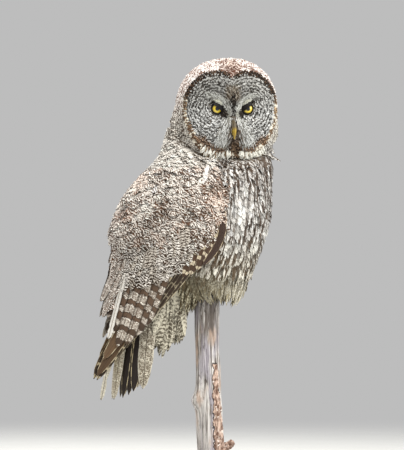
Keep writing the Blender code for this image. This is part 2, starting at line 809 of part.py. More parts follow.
def bill_piece(name, table, surface, grow=0.0, sides=12):
    rings = []
    for k, (up, front, depth, width) in enumerate(table):
        up_a, front_a = table[max(k - 1, 0)][:2]
        up_b, front_b = table[min(k + 1, len(table) - 1)][:2]
        along = Vector((0, up_b - up_a, front_b - front_a)).normalized()
        thick = Vector((0, along.z, -along.y))
        ring = []
        for s in range(sides):
            turn = 2 * math.pi * s / sides
            side = (BILL_HALF_WIDTH * width + grow) * math.cos(turn)
            lift = (depth + grow) * math.sin(turn)
            ring.append(on_head(side, up + thick.y * lift, front + thick.z * lift))
        rings.append(ring)
    tip_up, tip_front = table[-1][:2]
    end = on_head(0, tip_up - 0.0022 - grow, tip_front - 0.0008)
    start = on_head(0, table[0][0] + 0.001, table[0][1] - 0.002 - grow)
    return loft(name, rings, surface, (start, end))


def build_face():
    front = [face_ring(share, dish) for share in DISC_FRONT_SHARES]
    back = [
        face_ring(share, lambda side, up: back_of_dish(side, up) - DISC_CLEARANCE)
        for share in DISC_BACK_SHARES
    ]
    rings = back + front
    egg = head_front(0, -DISC_DROP)
    start = on_head(0, -DISC_DROP, egg - back_of_dish(0, -DISC_DROP) + DISC_CLEARANCE)
    end = on_head(0, -DISC_DROP, egg - dish(0, -DISC_DROP))
    face = loft("facial_disc", rings, FACE_FEATHER, (start, end))
    fuse(face, [lid_ring(-1), lid_ring(1), brow(-1), brow(1)])
    cutters = [eye_solid("socket", -1, GAP), eye_solid("socket", 1, GAP)]
    cutters.append(bill_piece("socket", UPPER_BILL, BILL_HORN, GAP))
    cutters.append(bill_piece("socket", LOWER_BILL, BILL_HORN, GAP))
    cut(face, cutters)
    eye_solid("eye_right", -1)
    eye_solid("eye_left", 1)
    upper = bill_piece("bill_upper", UPPER_BILL, BILL_HORN)
    out, up, front = NOSTRIL
    axes = (HEAD_SIDE, HEAD_FRONT, Vector((0, 0, 1)))
    radii = (NOSTRIL_RADIUS,) * 3
    middles = [on_head(side * out, up, front) for side in (-1, 1)]
    cut(upper, [ball("nostril", middle, radii, axes, BILL_HORN, 5, 8) for middle in middles])
    lower = bill_piece("bill_lower", LOWER_BILL, BILL_HORN)
    cut(lower, [bill_piece("mouth", UPPER_BILL, BILL_HORN, GAP)])


# Wings
def wing_sheet(x, z):
    """Half width of the outer face of the folded wings at a point of the side view."""
    crown, half, radius = smooth_at(WING_SHEET, z)
    return half - (x - crown) ** 2 / (2 * radius)


def wing_point(x, z, lift):
    """A point of the right wing's outer face, and the outward normal there."""
    step = 0.002
    y = wing_sheet(x, z)
    dx = (wing_sheet(x + step, z) - wing_sheet(x - step, z)) / (2 * step)
    dz = (wing_sheet(x, z + step) - wing_sheet(x, z - step)) / (2 * step)
    normal = Vector((-dx, -1.0, -dz)).normalized()
    return Vector((x, -y, z)) + normal * lift, normal


def wing_vane(name, surface, root, tip, half, lift_root, lift_tip, bend, count, blunt):
    """A vane laid on the wing's face, from root to tip in the side view."""
    root, tip = Vector(root), Vector(tip)
    off = Vector((tip.y - root.y, root.x - tip.x)).normalized() * bend
    stations = []
    line = []
    for k in range(count + 1):
        t = k / count
        line.append(root.lerp(tip, t) + off * math.sin(math.pi * t))
    for k, (x, z) in enumerate(line):
        t = k / count
        middle, normal = wing_point(x, z, lift_root + (lift_tip - lift_root) * t)
        a, b = line[max(k - 1, 0)], line[min(k + 1, count)]
        along = Vector((b.x - a.x, 0, b.y - a.y))
        along -= normal * along.dot(normal)
        across = along.normalized().cross(normal)
        tilted = Matrix.Rotation(WING_TILT, 3, along.normalized())
        stations.append((middle, tilted @ across, tilted @ normal, half * feather_outline(t, blunt)))
    return blade(name, stations, surface)


def vane_row(name, surface, roots, tips, half, lift, rise, bend, count, blunt):
    """Vanes side by side, from evenly spaced roots to their tips."""
    first, last = Vector(roots[0]), Vector(roots[1])
    vanes = []
    for k, tip in enumerate(tips):
        root = first.lerp(last, k / (len(tips) - 1))
        lift_root = lift[0] + rise[0] * k
        lift_tip = lift[1] + rise[1] * k
        vanes.append(
            wing_vane(name, surface, root, tip, half, lift_root, lift_tip, bend, count, blunt)
        )
    return vanes


def wing_body():
    """The covered part of the wing: a thick pad over the torso's side, thin at its edges."""
    rows, columns = WING_GRID
    outer, inner = [], []
    for r in range(rows):
        s = r / (rows - 1)
        table = [(k / (len(WING_ROWS) - 1), *values) for k, values in enumerate(WING_ROWS)]
        rear_z, rear_x, lead_x, lead_z = smooth_at(table, s)
        thick = WING_THICK_TOP + (WING_THICK_LOW - WING_THICK_TOP) * eased(s * 1.05)
        for c in range(columns):
            t = c / (columns - 1)
            x = lead_x + (rear_x - lead_x) * t
            z = lead_z + (rear_z - lead_z) * t
            edge = min(t, 1 - t, s * 1.2) / WING_EDGE_SHARE
            sunk = WING_EDGE_SINK * (1 - eased(edge)) ** 2
            outer.append(wing_point(x, z, -sunk)[0])
            inner.append(wing_point(x, z, -thick)[0])
    points = outer + inner
    shift = len(outer)
    faces = []
    for r in range(rows - 1):
        for c in range(columns - 1):
            a = r * columns + c
            b, d, e = a + 1, a + columns, a + columns + 1
            faces += [(a, b, e), (a, e, d)]
            faces += [(a + shift, e + shift, b + shift), (a + shift, d + shift, e + shift)]
    edge = [c for c in range(columns)]
    edge += [r * columns + columns - 1 for r in range(1, rows)]
    edge += [(rows - 1) * columns + c for c in range(columns - 2, -1, -1)]
    edge += [r * columns for r in range(rows - 2, 0, -1)]
    for k, a in enumerate(edge):
        b = edge[(k + 1) % len(edge)]
        faces += [(a, a + shift, b + shift), (a, b + shift, b)]
    return mesh_object("wing_right", points, faces, BACK_FEATHER)


def build_wings():
    wing = wing_body()
    vanes = vane_row("primary", FLIGHT_FEATHER, **PRIMARIES)
    vanes += vane_row("secondary", FLIGHT_FEATHER, **SECONDARIES)
    vanes += vane_row("scapular", BACK_FEATHER, **SCAPULARS)
    vanes += vane_row("covert", FLIGHT_FEATHER, **HAND_COVERTS)
    fuse(wing, vanes)
    heights = [*TRUNK_HEIGHTS, *NECK_HEIGHTS]
    heights[0] -= GAP
    torso = trunk_solid("torso_cutter", heights, 2 * GAP, even=True)
    far_side = box("far_side", (-0.4, -0.0004, 0.0), (0.4, 0.3, 0.9))
    cut(wing, [torso, far_side])
    mirrored(wing, "wing_left")


# Tail
def tail_feather(k, side):
    """One tail feather, counted from the middle pair. side is -1 on the bird's right."""
    t = k / (TAIL_FEATHERS - 1)
    root = TAIL_ROOT_IN.lerp(TAIL_ROOT_OUT, t)
    tip = TAIL_TIP_IN.lerp(TAIL_TIP_OUT, t)
    tip.z -= TAIL_LONGEST_EXTRA * math.sin(math.pi * min(1.0, t + 0.15))
    root.y *= side
    tip.y *= side
    slope = math.radians(TAIL_SLOPE_IN + (TAIL_SLOPE_OUT - TAIL_SLOPE_IN) * t)
    across = Vector((math.cos(slope), side * math.sin(slope), 0.0))
    along = (tip - root).normalized()
    across = (across - along * across.dot(along)).normalized()
    up = across.cross(along) * side
    tilted = Matrix.Rotation(-side * TAIL_TILT, 3, along)
    stations = []
    count = 6
    for j in range(count + 1):
        s = j / count
        middle = root.lerp(tip, s) + up * TAIL_BOW * math.sin(math.pi * s)
        half = TAIL_HALF_WIDTH * feather_outline(s, TAIL_BLUNT)
        stations.append((middle, tilted @ across, tilted @ up, half))
    return blade("rectrix", stations, FLIGHT_FEATHER)


def tail_block(name, pad, surface):
    """A tapering pad that hangs from the belly."""
    low, high = pad[0], (*pad[1], BELLY_BASE - GAP)
    rings = []
    for t in np.linspace(0, 1, 4):
        back, front, half, z = (a + (b - a) * t for a, b in zip(high, low))
        middle, reach = (back + front) / 2, (front - back) / 2
        reach *= 1 - PAD_TAPER_DEPTH * t**4
        half *= 1 - PAD_TAPER_WIDTH * t**4
        ring = []
        for k in range(PAD_SIDES):
            turn = 2 * math.pi * k / PAD_SIDES
            c, s = math.cos(turn), math.sin(turn)
            x = middle + reach * math.copysign(abs(c) ** 0.8, c)
            y = half * math.copysign(abs(s) ** 0.8, s)
            ring.append(Vector((x, y, z)))
        rings.append(ring)
    return loft(name, rings, surface)


def hanging_vane(name, root, tip, half, facing, surface, tilt=0.0, bow=0.0, count=5, blunt=0.5):
    """A soft feather that hangs from root to tip, its flat side towards facing, bowed outwards."""
    root, tip, facing = Vector(root), Vector(tip), Vector(facing).normalized()
    along = (tip - root).normalized()
    tilted = Matrix.Rotation(tilt, 3, along)
    across = tilted @ along.cross(facing).normalized()
    up = across.cross(along)
    stations = []
    for k in range(count + 1):
        t = k / count
        middle = root.lerp(tip, t) + up * bow * math.sin(math.pi * t)
        stations.append((middle, across, up, half * feather_outline(t, blunt)))
    return blade(name, stations, surface)


def build_tail():
    tail = tail_block("tail", TAIL_PAD, FLIGHT_FEATHER)
    fuse(tail, [tail_feather(k, side) for k in range(TAIL_FEATHERS) for side in (-1, 1)])
    under = tail_block("undertail_coverts", UNDERTAIL_PAD, BREAST_FEATHER)
    fuse(under, covert_vanes(UNDERTAIL_ROOT, UNDERTAIL_TIPS, UNDERTAIL_HALF_WIDTH, BREAST_FEATHER))
    upper = tail_block("uppertail_coverts", UPPERTAIL_PAD, BACK_FEATHER)
    fuse(upper, covert_vanes(UPPERTAIL_ROOT, UPPERTAIL_TIPS, UPPERTAIL_HALF_WIDTH, BACK_FEATHER))


def covert_vanes(root, tips, half, surface):
    """Soft feathers in pairs under or over the root of the tail."""
    vanes = []
    for x, y, z in tips:
        for side in (-1, 1) if y else (1,):
            facing = (0.2, side * 1.0, 0.0) if y else (0.5, 1.0, 0.0)
            start = (root[0] + 0.5 * (x - root[0]), side * y * 0.8, root[2])
            tip = (x, side * y, z)
            vanes.append(
                hanging_vane("covert", start, tip, half, facing, surface, bow=COVERT_BOW, count=3)
            )
    return vanes


def skirt_vanes():
    """Soft belly feathers that hang over the feet and the top of the stem."""
    vanes = []
    for root_z, tip_z, reach_x, reach_y, count, bow, spread in SKIRT_TIERS:
        lead_x = float(smooth_at(WING_LEAD, root_z)[0])
        for k in range(count):
            turn = math.radians(-spread + 2 * spread * k / (count - 1))
            tip = Vector((SKIRT_MIDDLE + reach_x * math.cos(turn), reach_y * math.sin(turn), tip_z))
            tip.z += 0.006 * math.sin(5 * turn)
            lean = Vector((math.cos(turn), math.sin(turn), 0))
            x = max(SKIRT_MIDDLE + SKIRT_ROOT_REACH * math.cos(turn), lead_x + SKIRT_HALF_WIDTH + 0.004)
            y = math.copysign(max(0.001, trunk_half_width(x, root_z)), turn)
            root = Vector((x, y, root_z)) - lean * (SKIRT_ROOT_SINK - bow)
            if abs(turn) > VENT_TURN:
                root = Vector((VENT_ROOT[0], math.copysign(VENT_ROOT[1], turn), VENT_ROOT[2]))
            facing = Vector((lean.x, lean.y, 0.35))
            tilt = math.copysign(SKIRT_TILT, turn)
            vane = (root, tip, SKIRT_HALF_WIDTH, facing, BREAST_FEATHER, tilt, bow)
            vanes.append(hanging_vane("skirt", *vane, count=3))
    return vanes


def build_body():
    torso = trunk_solid("torso", TRUNK_HEIGHTS)
    fuse(torso, skirt_vanes())
    neck = trunk_solid("neck", NECK_HEIGHTS)
    cut(neck, [head_cutter(NECK_CLEARANCE)])


# Legs, feet and claws
def leg_rings(side, table):
    turns = [2 * math.pi * k / LEG_SIDES for k in range(LEG_SIDES)]
    rings = []
    for z, x, out, reach_x, reach_y in table:
        y = side * LEG_OUT * out
        rings.append([Vector((x + reach_x * math.cos(a), y + reach_y * math.sin(a), z)) for a in turns])
    return rings


def toe_path(turn):
    """From the pad out over the rim and a little way down the stem's side."""
    out = Vector((math.cos(turn), math.sin(turn), 0))
    start = Vector((0, LEG_OUT * 0.75, STEM_TOP + 0.0085))
    rim = out * (RIM_OUT - 0.003)
    knee = Vector((rim.x, rim.y, STEM_TOP + 0.0048))
    down = out * RIM_OUT
    return [
        start,
        knee,
        Vector((down.x, down.y, STEM_TOP - 0.0020)),
        Vector((down.x * 0.995, down.y * 0.995, STEM_TOP - 0.0100)),
    ]


def toe(turn, grow=0.0):
    path = toe_path(turn)
    radii = [size + grow for size in (TOE_RADIUS, TOE_RADIUS, TOE_RADIUS * 0.95, TOE_TIP_RADIUS)]
    return tube("toe", path, radii, FACE_FEATHER, sides=7)


def claw(name, turn):
    """A round hooked claw, bedded on the toe's end, that curls in towards the stem."""
    out = Vector((math.cos(turn), math.sin(turn), 0))
    start = toe_path(turn)[-1]
    path, radii = [], []
    for t in np.linspace(0, 1, 7):
        bow = CLAW_BOW * math.sin(math.pi * t) + 0.0010
        path.append(start + out * (bow - 0.0010 * t) + Vector((0, 0, 0.003 - CLAW_DROP * t)))
        radii.append(float(CLAW_RADIUS * (1 - 0.86 * t) + 0.0001))
    made = tube(name, path, radii, CLAW_HORN, sides=8)
    return cut(made, [toe(turn, GAP)])


def build_legs():
    for side, word in ((1, "left"), (-1, "right")):
        loft(f"leg_{word}", leg_rings(side, LEG_RINGS), BREAST_FEATHER)
        foot = loft(f"foot_{word}", leg_rings(side, FOOT_RINGS), FACE_FEATHER)
        toes = [toe(math.radians(degrees)) for degrees in TOE_TURNS]
        if side < 0:
            for made in toes:
                made.data.transform(Matrix.Diagonal((1, -1, 1, 1)))
                made.data.flip_normals()
        fuse(foot, toes)
        rings = [stem_ring(z, GAP) for z in STEM_CUTTER_HEIGHTS]
        rings.append(stem_ring(STEM_TOP + GAP, grow=GAP - STEM_TOP_ROUND))
        cut(foot, [loft("stem_cutter", rings, WEATHERED_WOOD)])


def build_claws():
    for k, degrees in enumerate(TOE_TURNS):
        left = claw(f"claw_left_{k + 1}", math.radians(degrees))
        mirrored(left, f"claw_right_{k + 1}")


build_stand()
build_perch()
build_head()
build_face()
build_body()
build_wings()
build_tail()
build_legs()
build_claws()
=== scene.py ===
"""The looks of a life-size great grey owl on a cut length of dead stem and a round stand.

Metres, +Z up. The body faces +X, and the head is turned over its right shoulder to look
along -Y. The sections follow the model as it is put together, from the stand up.
"""

from math import ceil, cos, exp, pi, radians, sin, sqrt

import bpy
import numpy as np
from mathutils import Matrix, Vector, noise
from mathutils.bvhtree import BVHTree


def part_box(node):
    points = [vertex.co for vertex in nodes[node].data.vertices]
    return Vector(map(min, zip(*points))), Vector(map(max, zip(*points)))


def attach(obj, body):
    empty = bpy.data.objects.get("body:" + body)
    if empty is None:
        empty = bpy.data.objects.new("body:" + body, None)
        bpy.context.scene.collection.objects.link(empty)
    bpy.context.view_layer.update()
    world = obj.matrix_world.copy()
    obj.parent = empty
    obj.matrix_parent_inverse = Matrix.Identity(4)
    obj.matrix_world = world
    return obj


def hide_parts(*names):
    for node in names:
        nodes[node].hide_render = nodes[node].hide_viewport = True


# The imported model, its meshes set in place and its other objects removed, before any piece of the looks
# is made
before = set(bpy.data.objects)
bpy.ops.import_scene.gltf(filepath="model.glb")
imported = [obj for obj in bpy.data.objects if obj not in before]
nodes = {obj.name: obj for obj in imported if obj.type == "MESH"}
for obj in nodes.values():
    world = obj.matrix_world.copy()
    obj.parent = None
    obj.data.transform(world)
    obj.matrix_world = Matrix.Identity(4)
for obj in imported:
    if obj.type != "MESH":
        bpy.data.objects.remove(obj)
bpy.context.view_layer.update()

# Studio
# A plain pale floor that fades out round the stand, soft lights overhead and to the sides, and the
# camera level with the middle of the bird, far off along the photograph's line of sight.
VIEW_TURN = radians(-8)
METRES_PER_PIXEL = 0.0019
PICTURE_ROWS = 450
CAMERA_AWAY = 8.0
AIM_RIGHT = -0.0095
AIM_HEIGHT = 0.4751
SENSOR_HEIGHT = 36.0
FLOOR_REACH = 3.0
FLOOR_SIDES = 96

view_right = Vector((cos(VIEW_TURN), sin(VIEW_TURN), 0))
view_back = Vector((sin(VIEW_TURN), -cos(VIEW_TURN), 0))
view_aim = view_right * AIM_RIGHT + Vector((0, 0, AIM_HEIGHT))


def srgb(red, green, blue):
    """A colour seen by eye, 0 to 255 a channel, as the share of light that the surface returns."""
    values = np.array((red, green, blue)) / 255
    return np.where(values <= 0.04045, values / 12.92, ((values + 0.055) / 1.055) ** 2.4)


def link_object(name, data):
    made = bpy.data.objects.new(name, data)
    bpy.context.scene.collection.objects.link(made)
    return made


def new_material(name, constants):
    """A material and its shader, with constants given by the names of the shader's sockets."""
    made = bpy.data.materials.new(name)
    made.use_nodes = True
    shader = made.node_tree.nodes["Principled BSDF"]
    for title, value in constants.items():
        shader.inputs[title].default_value = value
    return made, made.node_tree, shader


class Wire:
    """A value on its way through a material's nodes. Sums and products of wires are nodes too."""

    def __init__(self, socket):
        self.socket = socket
        self.tree = socket.id_data

    def __add__(self, other):
        return maths("ADD", self, other)

    def __sub__(self, other):
        return maths("SUBTRACT", self, other)

    def __rsub__(self, other):
        return maths("SUBTRACT", other, self)

    def __mul__(self, other):
        return maths("MULTIPLY", self, other)

    def __truediv__(self, other):
        return maths("DIVIDE", self, other)

    def __abs__(self):
        return maths("ABSOLUTE", self)


def feed(slot, value):
    """Puts a wire, a number or a colour into a node's input."""
    if isinstance(value, Wire):
        value.tree.links.new(value.socket, slot)
    elif slot.type == "RGBA":
        slot.default_value = (*value, 1.0)
    else:
        slot.default_value = value


def added(tree, kind, *values, **settings):
    """A new node with its settings, fed with values in the order of its inputs."""
    made = tree.nodes.new(f"ShaderNode{kind}")
    for name, setting in settings.items():
        setattr(made, name, setting)
    for slot, value in zip(made.inputs, values):
        feed(slot, value)
    return made


def tree_among(values):
    return next(value.tree for value in values if isinstance(value, Wire))


def maths(operation, *values, clamp=False):
    return Wire(added(tree_among(values), "Math", *values, operation=operation, use_clamp=clamp).outputs[0])


def step_between(value, low, high):
    """0 below low and 1 above high, with a smooth change."""
    made = added(value.tree, "MapRange", value, low, high, interpolation_type="SMOOTHSTEP")
    return Wire(made.outputs["Result"])


def mixed(share, first, second):
    """Two colours mixed by share."""
    made = added(tree_among((share, first, second)), "Mix", share, data_type="RGBA")
    feed(made.inputs[6], first)
    feed(made.inputs[7], second)
    return Wire(made.outputs[2])


def position(tree):
    return Wire(added(tree, "NewGeometry").outputs["Position"])


def mottle(place, scale=1.0, detail=3.0, roughness=0.55):
    made = added(place.tree, "TexNoise", place)
    for title, value in (("Scale", scale), ("Detail", detail), ("Roughness", roughness)):
        made.inputs[title].default_value = value
    return Wire(made.outputs["Fac"])


camera = link_object("camera", bpy.data.cameras.new("camera"))
camera.location = view_aim + view_back * CAMERA_AWAY
camera.rotation_euler = (radians(90), 0, VIEW_TURN)
camera.data.sensor_fit = "VERTICAL"
camera.data.sensor_height = SENSOR_HEIGHT
camera.data.lens = SENSOR_HEIGHT * CAMERA_AWAY / (PICTURE_ROWS * METRES_PER_PIXEL)
bpy.context.scene.camera = camera


def area_light(name, across, towards, up, size, power, tint):
    """A square light placed by how far right, towards the camera and up it stands from the bird."""
    light = link_object(name, bpy.data.lights.new(name, "AREA"))
    light.data.size = size
    light.data.energy = power
    light.data.color = tint
    place = view_aim + view_right * across + view_back * towards + Vector((0, 0, up))
    light.location = place
    light.rotation_euler = (view_aim - place).to_track_quat("-Z", "Y").to_euler()


area_light("key_light", 0.55, 1.35, 2.6, 1.5, 88.0, (1.0, 0.985, 0.955))
area_light("side_light", 2.4, 0.9, 0.6, 1.6, 30.0, (1.0, 1.0, 0.98))
area_light("back_light", -1.5, -1.5, 1.9, 1.4, 60.0, (1.0, 0.99, 0.97))

world = bpy.data.worlds.new("studio")
world.use_nodes = True
world.node_tree.nodes["Background"].inputs["Color"].default_value = (0.82, 0.82, 0.82, 1)
world.node_tree.nodes["Background"].inputs["Strength"].default_value = 0.62
bpy.context.scene.world = world
bpy.context.scene.view_settings.view_transform = "Standard"

rim = [2 * pi * k / FLOOR_SIDES for k in range(FLOOR_SIDES)]
floor_mesh = bpy.data.meshes.new("floor")
floor_mesh.from_pydata(
    [(FLOOR_REACH * cos(a), FLOOR_REACH * sin(a), 0) for a in rim],
    [],
    [range(FLOOR_SIDES)],
)
floor = link_object("floor", floor_mesh)
floor_paint, tree, shader = new_material("floor_paint", {"Roughness": 0.9})
grain = mottle(position(tree), 9.0, 4.0)
feed(shader.inputs["Base Color"], mixed(grain, srgb(214, 214, 210), srgb(224, 224, 221)))
distance = Wire(added(tree, "VectorMath", position(tree), operation="LENGTH").outputs["Value"])
feed(shader.inputs["Alpha"], 1.0 - step_between(distance, 0.35, FLOOR_REACH * 0.8))
floor.data.materials.append(floor_paint)

# Stand
# A turned disc of dark stained hardwood, waxed, with a rounded edge and one shallow groove, and a
# short satin steel rod let into it that carries the perch. The rod has a turned collar at its foot.
BASE_GROOVE_AT = 0.104
BASE_ROUND = 0.0042
BASE_SIDES = 144
ROD_SIDES = 64
_, base_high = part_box("stand_base")
rod_low, rod_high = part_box("stand_rod")
base_radius = base_high.x
base_top = base_high.z
rod_x = (rod_low.x + rod_high.x) / 2
rod_radius = (rod_high.x - rod_low.x) / 2


def triangle_mesh(name, points, triangles, sharp=60):
    """A smooth-shaded mesh from arrays of points and of triangles, sharp at its folds."""
    mesh = bpy.data.meshes.new(name)
    points = np.asarray(points, np.float32)
    triangles = np.asarray(triangles, np.int32)
    mesh.vertices.add(len(points))
    mesh.vertices.foreach_set("co", points.ravel())
    mesh.loops.add(triangles.size)
    mesh.loops.foreach_set("vertex_index", triangles.ravel())
    mesh.polygons.add(len(triangles))
    mesh.polygons.foreach_set("loop_start", np.arange(len(triangles), dtype=np.int32) * 3)
    mesh.update(calc_edges=True)
    mesh.shade_smooth()
    mesh.set_sharp_from_angle(angle=radians(sharp))
    return mesh


def stretched(place, scale):
    """A place multiplied by a scale of its own along each axis."""
    return Wire(added(place.tree, "VectorMath", place, scale, operation="MULTIPLY").outputs[0])


def bumped(shader, height, distance, strength=1.0):
    made = added(height.tree, "Bump")
    for title, value in (("Strength", strength), ("Distance", distance), ("Height", height)):
        feed(made.inputs[title], value)
    feed(shader.inputs["Normal"], Wire(made.outputs["Normal"]))


def tube_triangles(rows, sides, capped=True):
    """Triangles over rings of points, and to the two points after them that close the tube's ends."""
    k = np.arange(sides)
    after = (k + 1) % sides
    triangles = []
    for row in range(rows - 1):
        a, b = row * sides + k, row * sides + after
        triangles += [np.stack((a, b, b + sides), 1), np.stack((a, b + sides, a + sides), 1)]
    if capped:
        last = (rows - 1) * sides
        for end, one, other in ((rows * sides, after, k), (rows * sides + 1, last + k, last + after)):
            triangles.append(np.stack((np.full(sides, end), one, other), 1))
    return np.concatenate(triangles)


def ring_solid(rings, first_end, last_end):
    """Points and triangles of a closed form over rings of equal count."""
    rings = np.asarray(rings)
    points = np.concatenate((rings.reshape(-1, 3), [first_end, last_end]))
    return points, tube_triangles(*rings.shape[:2])


def turned_mesh(name, profile, centre_x, sides):
    """A closed turned solid. Its profile is radius and height, from the axis below to the axis above."""
    turns = np.arange(sides) * 2 * pi / sides
    rings = []
    for radius, z in profile[1:-1]:
        rings.append([(centre_x + radius * cos(a), radius * sin(a), z) for a in turns])
    ends = [(centre_x, 0, z) for _, z in (profile[0], profile[-1])]
    return triangle_mesh(name, *ring_solid(rings, *ends), 40)


def fitted(mesh, surface, slot, *replaced):
    """Puts a finished piece into the model, in place of the solids that it replaces."""
    piece = link_object(mesh.name, mesh)
    mesh.materials.append(surface)
    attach(piece, "root")
    if replaced:
        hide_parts(*replaced)


corner = [radians(a) for a in range(0, 91, 15)]
base_profile = [(0, 0), (base_radius - 0.0015, 0), (base_radius, 0.0015)]
base_profile += [
    (base_radius - BASE_ROUND * (1 - cos(a)), base_top - BASE_ROUND * (1 - sin(a)))
    for a in corner
]
base_profile += [
    (BASE_GROOVE_AT + 0.0022 * cos(a), base_top - 0.0012 * sin(a))
    for a in np.linspace(0, pi, 9)
]
base_profile += [(0.05, base_top), (0, base_top)]
stain, tree, shader = new_material(
    "stained_hardwood", {"Roughness": 0.35, "Coat Weight": 0.25, "Coat Roughness": 0.25}
)
place = position(tree)
bands = mottle(stretched(place, (1.2, 38.0, 60.0)), 2.2, 5.0, 0.6)
dark_pores = step_between(mottle(stretched(place, (45.0, 900.0, 900.0)), 1.0, 2.0), 0.60, 0.72)
grain_colour = mixed(step_between(bands, 0.36, 0.66), srgb(52, 34, 24), srgb(98, 66, 45))
feed(shader.inputs["Base Color"], mixed(dark_pores, grain_colour, srgb(34, 22, 16)))
feed(shader.inputs["Roughness"], bands * 0.22 + 0.26)
bumped(shader, bands - dark_pores, 0.0004, 0.35)
fitted(turned_mesh("base_disc", base_profile, 0.0, BASE_SIDES), stain, "stand_wood", "stand_base")

foot_of_rod = rod_low.z
rod_profile = [(0, foot_of_rod), (rod_radius * 2.1, foot_of_rod), (rod_radius * 2.1, foot_of_rod + 0.0016)]
rod_profile += [(rod_radius * 1.9, foot_of_rod + 0.0022), (rod_radius * 1.06, foot_of_rod + 0.0025)]
rod_profile += [(rod_radius, foot_of_rod + 0.0034), (rod_radius, rod_high.z), (0, rod_high.z)]
steel, tree, shader = new_material("satin_steel", {"Roughness": 0.3, "Metallic": 1.0})
rings = mottle(stretched(position(tree), (20.0, 20.0, 2600.0)), 1.0, 2.0)
feed(shader.inputs["Base Color"], mixed(rings, srgb(142, 142, 144), srgb(170, 170, 171)))
feed(shader.inputs["Roughness"], rings * 0.16 + 0.24)
bumped(shader, rings, 0.0001, 0.4)
fitted(turned_mesh("rod_and_collar", rod_profile, rod_x, ROD_SIDES), steel, "stand_steel", "stand_rod")

# Perch
# A cut length of a dead, weathered stem: silver grey sapwood with long cracks and ridges, a healed
# knot on one side, the stub of a broken twig low on the other, and a strip of reddish bark left on.

# Height, middle in x, radius
STEM = (
    (0.040, 0.0080, 0.0250), (0.075, 0.0065, 0.0255), (0.105, 0.0045, 0.0255),
    (0.160, 0.0015, 0.0245), (0.200, 0.0015, 0.0232), (0.240, -0.0005, 0.0220),
    (0.290, -0.0005, 0.0230), (0.345, 0.0000, 0.0240),
)
STEM_TOP = 0.345
STEM_SIDES = 200
STEM_STEP = 0.0014
KNOT_HEIGHT = 0.142
KNOT_REACH = 0.0085
TWIG_HEIGHT = 0.062
TWIG_LENGTH = 0.031
TWIG_RADIUS = 0.0090
BARK_TOP = 0.214
BARK_THICK = 0.0011
# Where the bark strip's two edges run, as turns from +X, at its top and at the stem's foot
BARK_LEFT_EDGE = (radians(-72), radians(-88))
BARK_RIGHT_EDGE = (radians(-42), radians(-22))


def grain_noise(turn, z, around, along, seed):
    """Noise on the stem's surface, stretched along the grain. around and along are its sizes there."""
    twist = turn + 1.1 * z
    place = (cos(twist) * 0.025 / around, sin(twist) * 0.025 / around, z / along + seed)
    return noise.noise(place)


def eased(x):
    x = np.clip(x, 0.0, 1.0)
    return x * x * (3 - 2 * x)


def bark_cover(turn, z):
    """1 where the strip of bark is left on the stem."""
    down = (BARK_TOP - z) / (BARK_TOP - STEM[0][0])
    left = BARK_LEFT_EDGE[0] + (BARK_LEFT_EDGE[1] - BARK_LEFT_EDGE[0]) * down
    right = BARK_RIGHT_EDGE[0] + (BARK_RIGHT_EDGE[1] - BARK_RIGHT_EDGE[0]) * down
    ragged = 0.16 * grain_noise(turn, z, 0.008, 0.012, 4.0) + 0.08 * grain_noise(turn, z, 0.003, 0.004, 9.0)
    inside = min(turn - left, right - turn) + ragged
    return float(eased(inside / 0.09) * eased((BARK_TOP - z) / 0.006 + 3 * ragged))


def stem_reach(turn, z):
    """The stem's radius in one direction at a height, with its flutes, cracks, knot and bark."""
    heights, _, radii = zip(*STEM)
    reach = np.interp(z, heights, radii)
    reach += 0.0007 * sin(3 * turn + 9 * z) + 0.0005 * sin(5 * turn - 20 * z)
    reach += 0.0011 * grain_noise(turn, z, 0.009, 0.110, 0.0)
    reach += 0.0006 * grain_noise(turn, z, 0.0030, 0.050, 2.0)
    reach += 0.0003 * grain_noise(turn, z, 0.0012, 0.020, 5.0)
    crack = grain_noise(turn, z, 0.0065, 0.090, 7.0)
    reach -= 0.0022 * exp(-((crack / 0.035) ** 2)) * eased(grain_noise(turn, z, 0.02, 0.06, 3.0) * 3 + 0.4)
    facing = max(0.0, cos(turn - pi)) ** 3
    swell = facing * exp(-(((z - KNOT_HEIGHT) / 0.014) ** 2))
    reach += KNOT_REACH * swell
    ripple = sin(((z - KNOT_HEIGHT) ** 2 + (0.02 * sin(turn)) ** 2) ** 0.5 * 1300)
    reach += 0.0004 * swell * ripple
    cover = bark_cover(turn, z)
    plates = 0.5 + grain_noise(turn, z, 0.004, 0.004, 11.0)
    return reach + BARK_THICK * cover * (0.7 + 0.8 * plates), cover


def stem_point(turn, z):
    heights, middles, _ = zip(*STEM)
    reach, cover = stem_reach(turn, z)
    middle = np.interp(z, heights, middles)
    return (middle + reach * cos(turn), reach * sin(turn), z), cover


stem_heights = np.arange(STEM[0][0], STEM_TOP - 0.003, STEM_STEP)
turns = np.linspace(-pi, pi, STEM_SIDES, endpoint=False)
stem_points, stem_bark = [], []
for z in stem_heights:
    for turn in turns:
        point, cover = stem_point(turn, z)
        stem_points.append(point)
        stem_bark.append(cover)
# The two sawn ends: rings that step in to the middle
for shrink, z in ((0.90, STEM_TOP - 0.0008), (0.55, STEM_TOP), (0.05, STEM_TOP)):
    for turn in turns:
        point, _ = stem_point(turn, stem_heights[-1])
        stem_points.append((point[0] * shrink, point[1] * shrink, z))
        stem_bark.append(0.0)
stem_rows = len(stem_points) // STEM_SIDES
foot_middle = (STEM[0][1], 0, STEM[0][0])
top_middle = (0, 0, STEM_TOP)
stem_points += [foot_middle, top_middle]
stem_bark += [0.0, 0.0]


